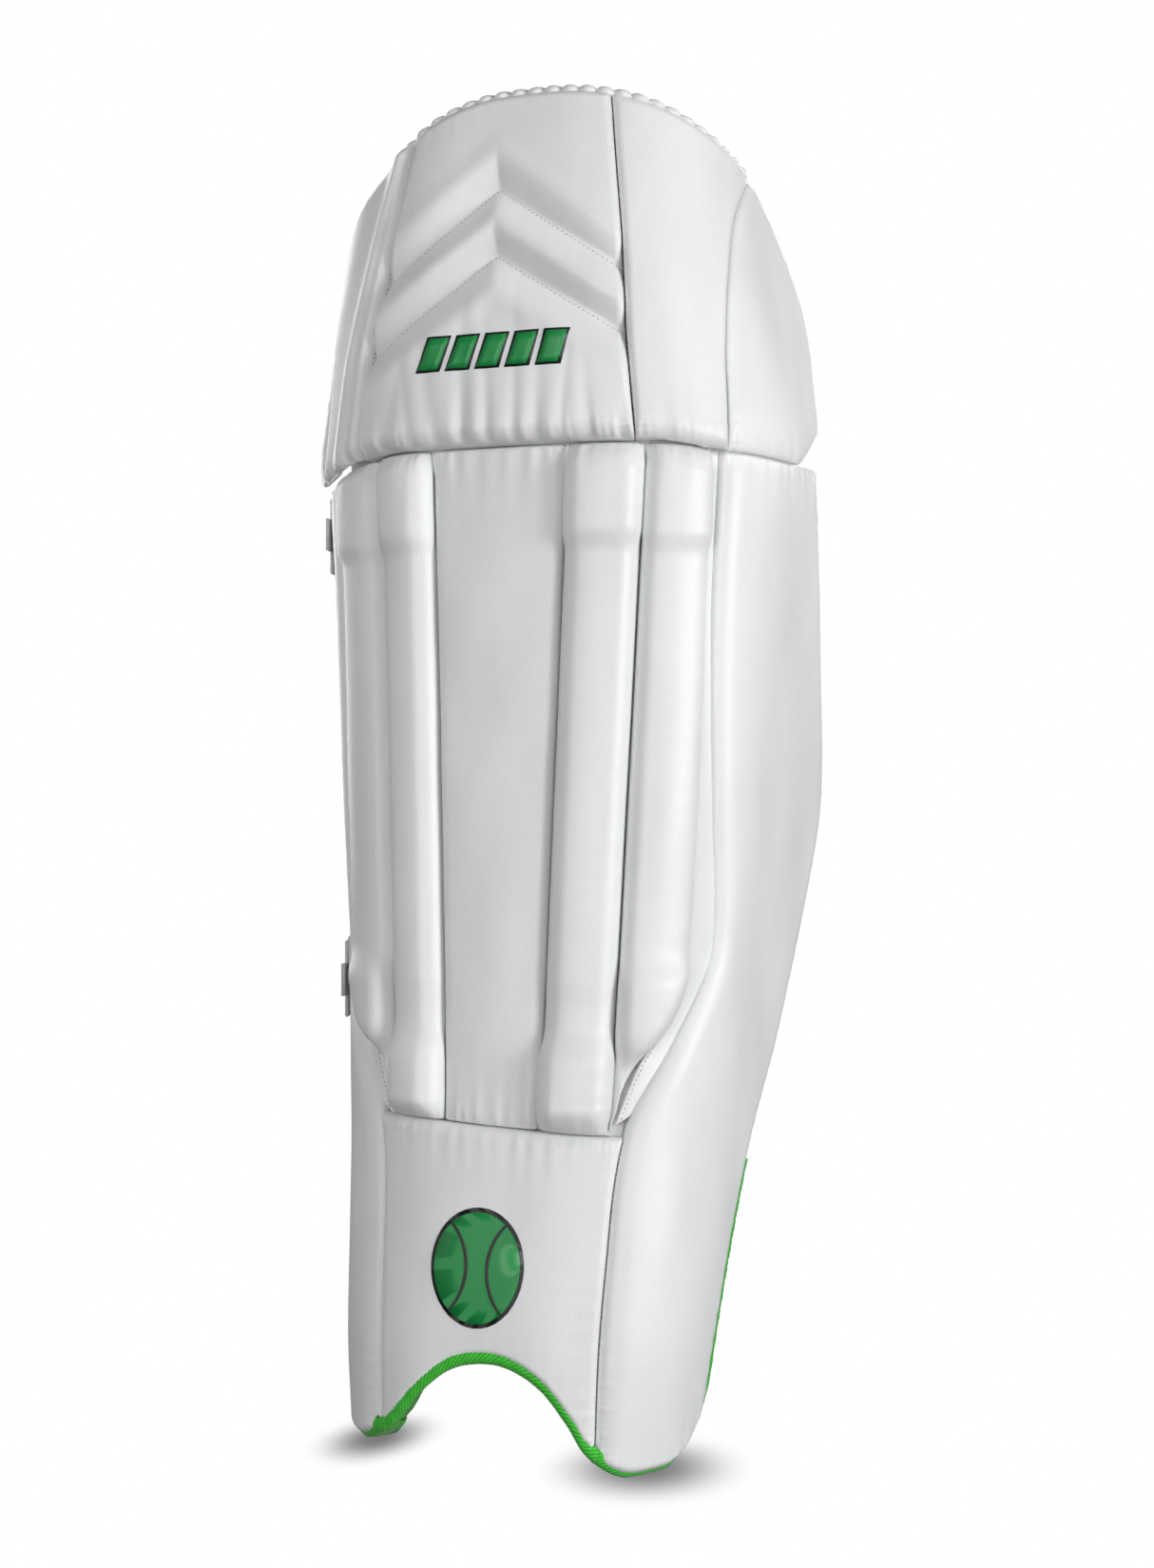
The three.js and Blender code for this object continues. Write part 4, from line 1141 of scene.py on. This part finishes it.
def add_badges():
    """Plain printed shapes: a ball on the instep and a row of slanting bars on the knee."""
    centre = (-4.0, 91.0)
    rim_radius, ball_radius = 26.5, 24.5
    under_instep = surface_under(bpy.data.objects["instep_skin"], SHIN)
    under_knee_face = surface_under(bpy.data.objects["knee_face_skin"], KNEE)

    def instep(lift):
        return lambda u, z: under_instep(u, z) + 0.15 + lift

    def knee(lift):
        return lambda u, z: under_knee_face(u, z) + 0.15 + lift

    print_shape("instep_badge_rim", SHIN, circle(centre, rim_radius), instep(0.0), "print_black",
                "instep_badge")
    print_shape("instep_badge_ball", SHIN, circle(centre, ball_radius), instep(0.45), "print_green")
    for k, bend in enumerate((-1, 1)):
        arc = np.linspace(-0.85, 0.85, 24)
        edges = [
            [(centre[0] + bend * (shift - 28 * math.cos(t)), centre[1] + 26 * math.sin(t)) for t in run]
            for shift, run in ((33, arc), (34.8, arc[::-1]))
        ]
        print_shape(f"instep_badge_seam_{k + 1}", SHIN, edges[0] + edges[1], instep(0.75), "print_black")

    def bar(left, width, grow):
        slant = 5.0
        low, high = 499.0 - grow, 513.0 + grow
        wide = width + grow
        near, far = left - grow, left + wide
        return [(near, low), (far, low), (far + slant, high), (near + slant, high)]

    first, pitch, width, rim = -34, 13.5, 9.0, 1.1
    for k in range(5):
        left = first + pitch * k
        node = "knee_badge" if k == 0 else None
        print_shape(f"knee_badge_rim_{k + 1}", KNEE, bar(left, width, rim), knee(0.0), "print_black", node)
        print_shape(f"knee_badge_bar_{k + 1}", KNEE, bar(left, width, 0.0), knee(0.4), "print_green")


def dress_frame():
    """Gives the carried-over CAD nodes their procedural finishes."""
    for name in ("shin_backing", "knee_backing"):
        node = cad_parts[name]
        node.data.materials.clear()
        node.data.materials.append(MATERIALS["board"])


# ---- Stage, light and camera ----
def add_stage():
    """A white floor and surround seen only by the camera, and soft lamps that do all the lighting.

    The floor glows evenly, except for a soft shadow painted under each toe.
    """
    scene = bpy.context.scene
    scene.view_settings.view_transform = "Standard"
    bpy.ops.mesh.primitive_plane_add(size=12, location=(0, 0, -0.0005))
    floor = bpy.context.object
    floor.name = "floor"
    paint = bpy.data.materials.new("floor_white")
    paint.use_nodes = True
    tree = paint.node_tree
    tree.nodes.remove(tree.nodes["Principled BSDF"])
    glow = tree.nodes.new("ShaderNodeEmission")
    tree.links.new(glow.outputs["Emission"], tree.nodes["Material Output"].inputs["Surface"])
    where = tree.nodes.new("ShaderNodeTexCoord").outputs["Object"]
    light = None
    for place, reach, depth in TOE_SHADOWS:
        mapping = tree.nodes.new("ShaderNodeMapping")
        mapping.vector_type = "TEXTURE"
        mapping.inputs["Location"].default_value = (*place, 0)
        mapping.inputs["Scale"].default_value = (*reach, 1)
        tree.links.new(where, mapping.inputs["Vector"])
        blob = tree.nodes.new("ShaderNodeTexGradient")
        blob.gradient_type = "SPHERICAL"
        tree.links.new(mapping.outputs["Vector"], blob.inputs["Vector"])
        fade = tree.nodes.new("ShaderNodeMapRange")
        fade.interpolation_type = "SMOOTHERSTEP"
        fade.inputs["To Min"].default_value = 1.0
        fade.inputs["To Max"].default_value = 1.0 - depth
        tree.links.new(blob.outputs["Fac"], fade.inputs["Value"])
        if light is None:
            light = fade.outputs["Result"]
        else:
            both = tree.nodes.new("ShaderNodeMath")
            both.operation = "MULTIPLY"
            tree.links.new(light, both.inputs[0])
            tree.links.new(fade.outputs["Result"], both.inputs[1])
            light = both.outputs["Value"]
    tree.links.new(light, glow.inputs["Strength"])
    floor.data.materials.append(paint)
    floor.visible_diffuse = False
    floor.visible_glossy = False

    world = bpy.data.worlds.new("studio")
    scene.world = world
    world.use_nodes = True
    background = world.node_tree.nodes["Background"]
    background.inputs["Color"].default_value = (1, 1, 1, 1)
    background.inputs["Strength"].default_value = 1.0
    world.cycles_visibility.diffuse = False
    world.cycles_visibility.glossy = False

    target = Vector((0.0, -0.03, 0.32))
    lamps = [
        ("key", 72, 5, 2.0, 0.8, 29.0),
        ("front", 2, 0, 2.4, 1.4, 36.0),
        ("top", 20, 70, 2.2, 1.6, 5.0),
        ("left", -75, 6, 2.4, 1.8, 6.5),
        ("back", 190, 20, 2.4, 1.8, 42.0),
        ("behind", 235, 15, 2.4, 1.6, 24.0),
        ("rim", 120, 20, 2.4, 1.2, 8.0),
    ]
    for name, azimuth, elevation, distance, size, power in lamps:
        turn, lift = math.radians(azimuth), math.radians(elevation)
        reach = Vector((math.sin(turn) * math.cos(lift), -math.cos(turn) * math.cos(lift), math.sin(lift)))
        data = bpy.data.lights.new(name, "AREA")
        data.shape = "DISK"
        data.size = size
        data.energy = power
        lamp = bpy.data.objects.new(name, data)
        lamp.location = target + reach * distance
        lamp.rotation_euler = (-reach).to_track_quat("-Z", "Y").to_euler()
        scene.collection.objects.link(lamp)


def add_camera():
    """A 50 mm lens, 1 m away and 20 degrees to the outer side, level with the middle of the shin."""
    azimuth = math.radians(20)
    right = Vector((math.cos(azimuth), math.sin(azimuth), 0))
    ahead = Vector((-math.sin(azimuth), math.cos(azimuth), 0))
    front_centre = Vector((-SIDE_SHIFT, -DEPTH_SHIFT, 0)) * MM
    eye = front_centre + right * 0.0345 - ahead * 1.0
    eye.z = 0.309
    data = bpy.data.cameras.new("camera")
    data.lens = 50
    camera = bpy.data.objects.new("camera", data)
    camera.location = eye
    camera.rotation_euler = ahead.to_track_quat("-Z", "Y").to_euler()
    bpy.context.scene.collection.objects.link(camera)
    bpy.context.scene.camera = camera


add_camera()
add_stage()
add_shin()
add_instep()
add_wing("outer", 1, outer_back, 0.0, "wing_outer")
add_wing("inner", -1, inner_back, INNER_TOE, "wing_inner")
add_bindings()
add_knee()
add_knee_wings()
add_knee_edge()
add_hinge_web()
add_shin_lining()
for strap_name, strap_z in STRAPS.items():
    add_strap(strap_name, strap_z)
add_badges()
dress_frame()
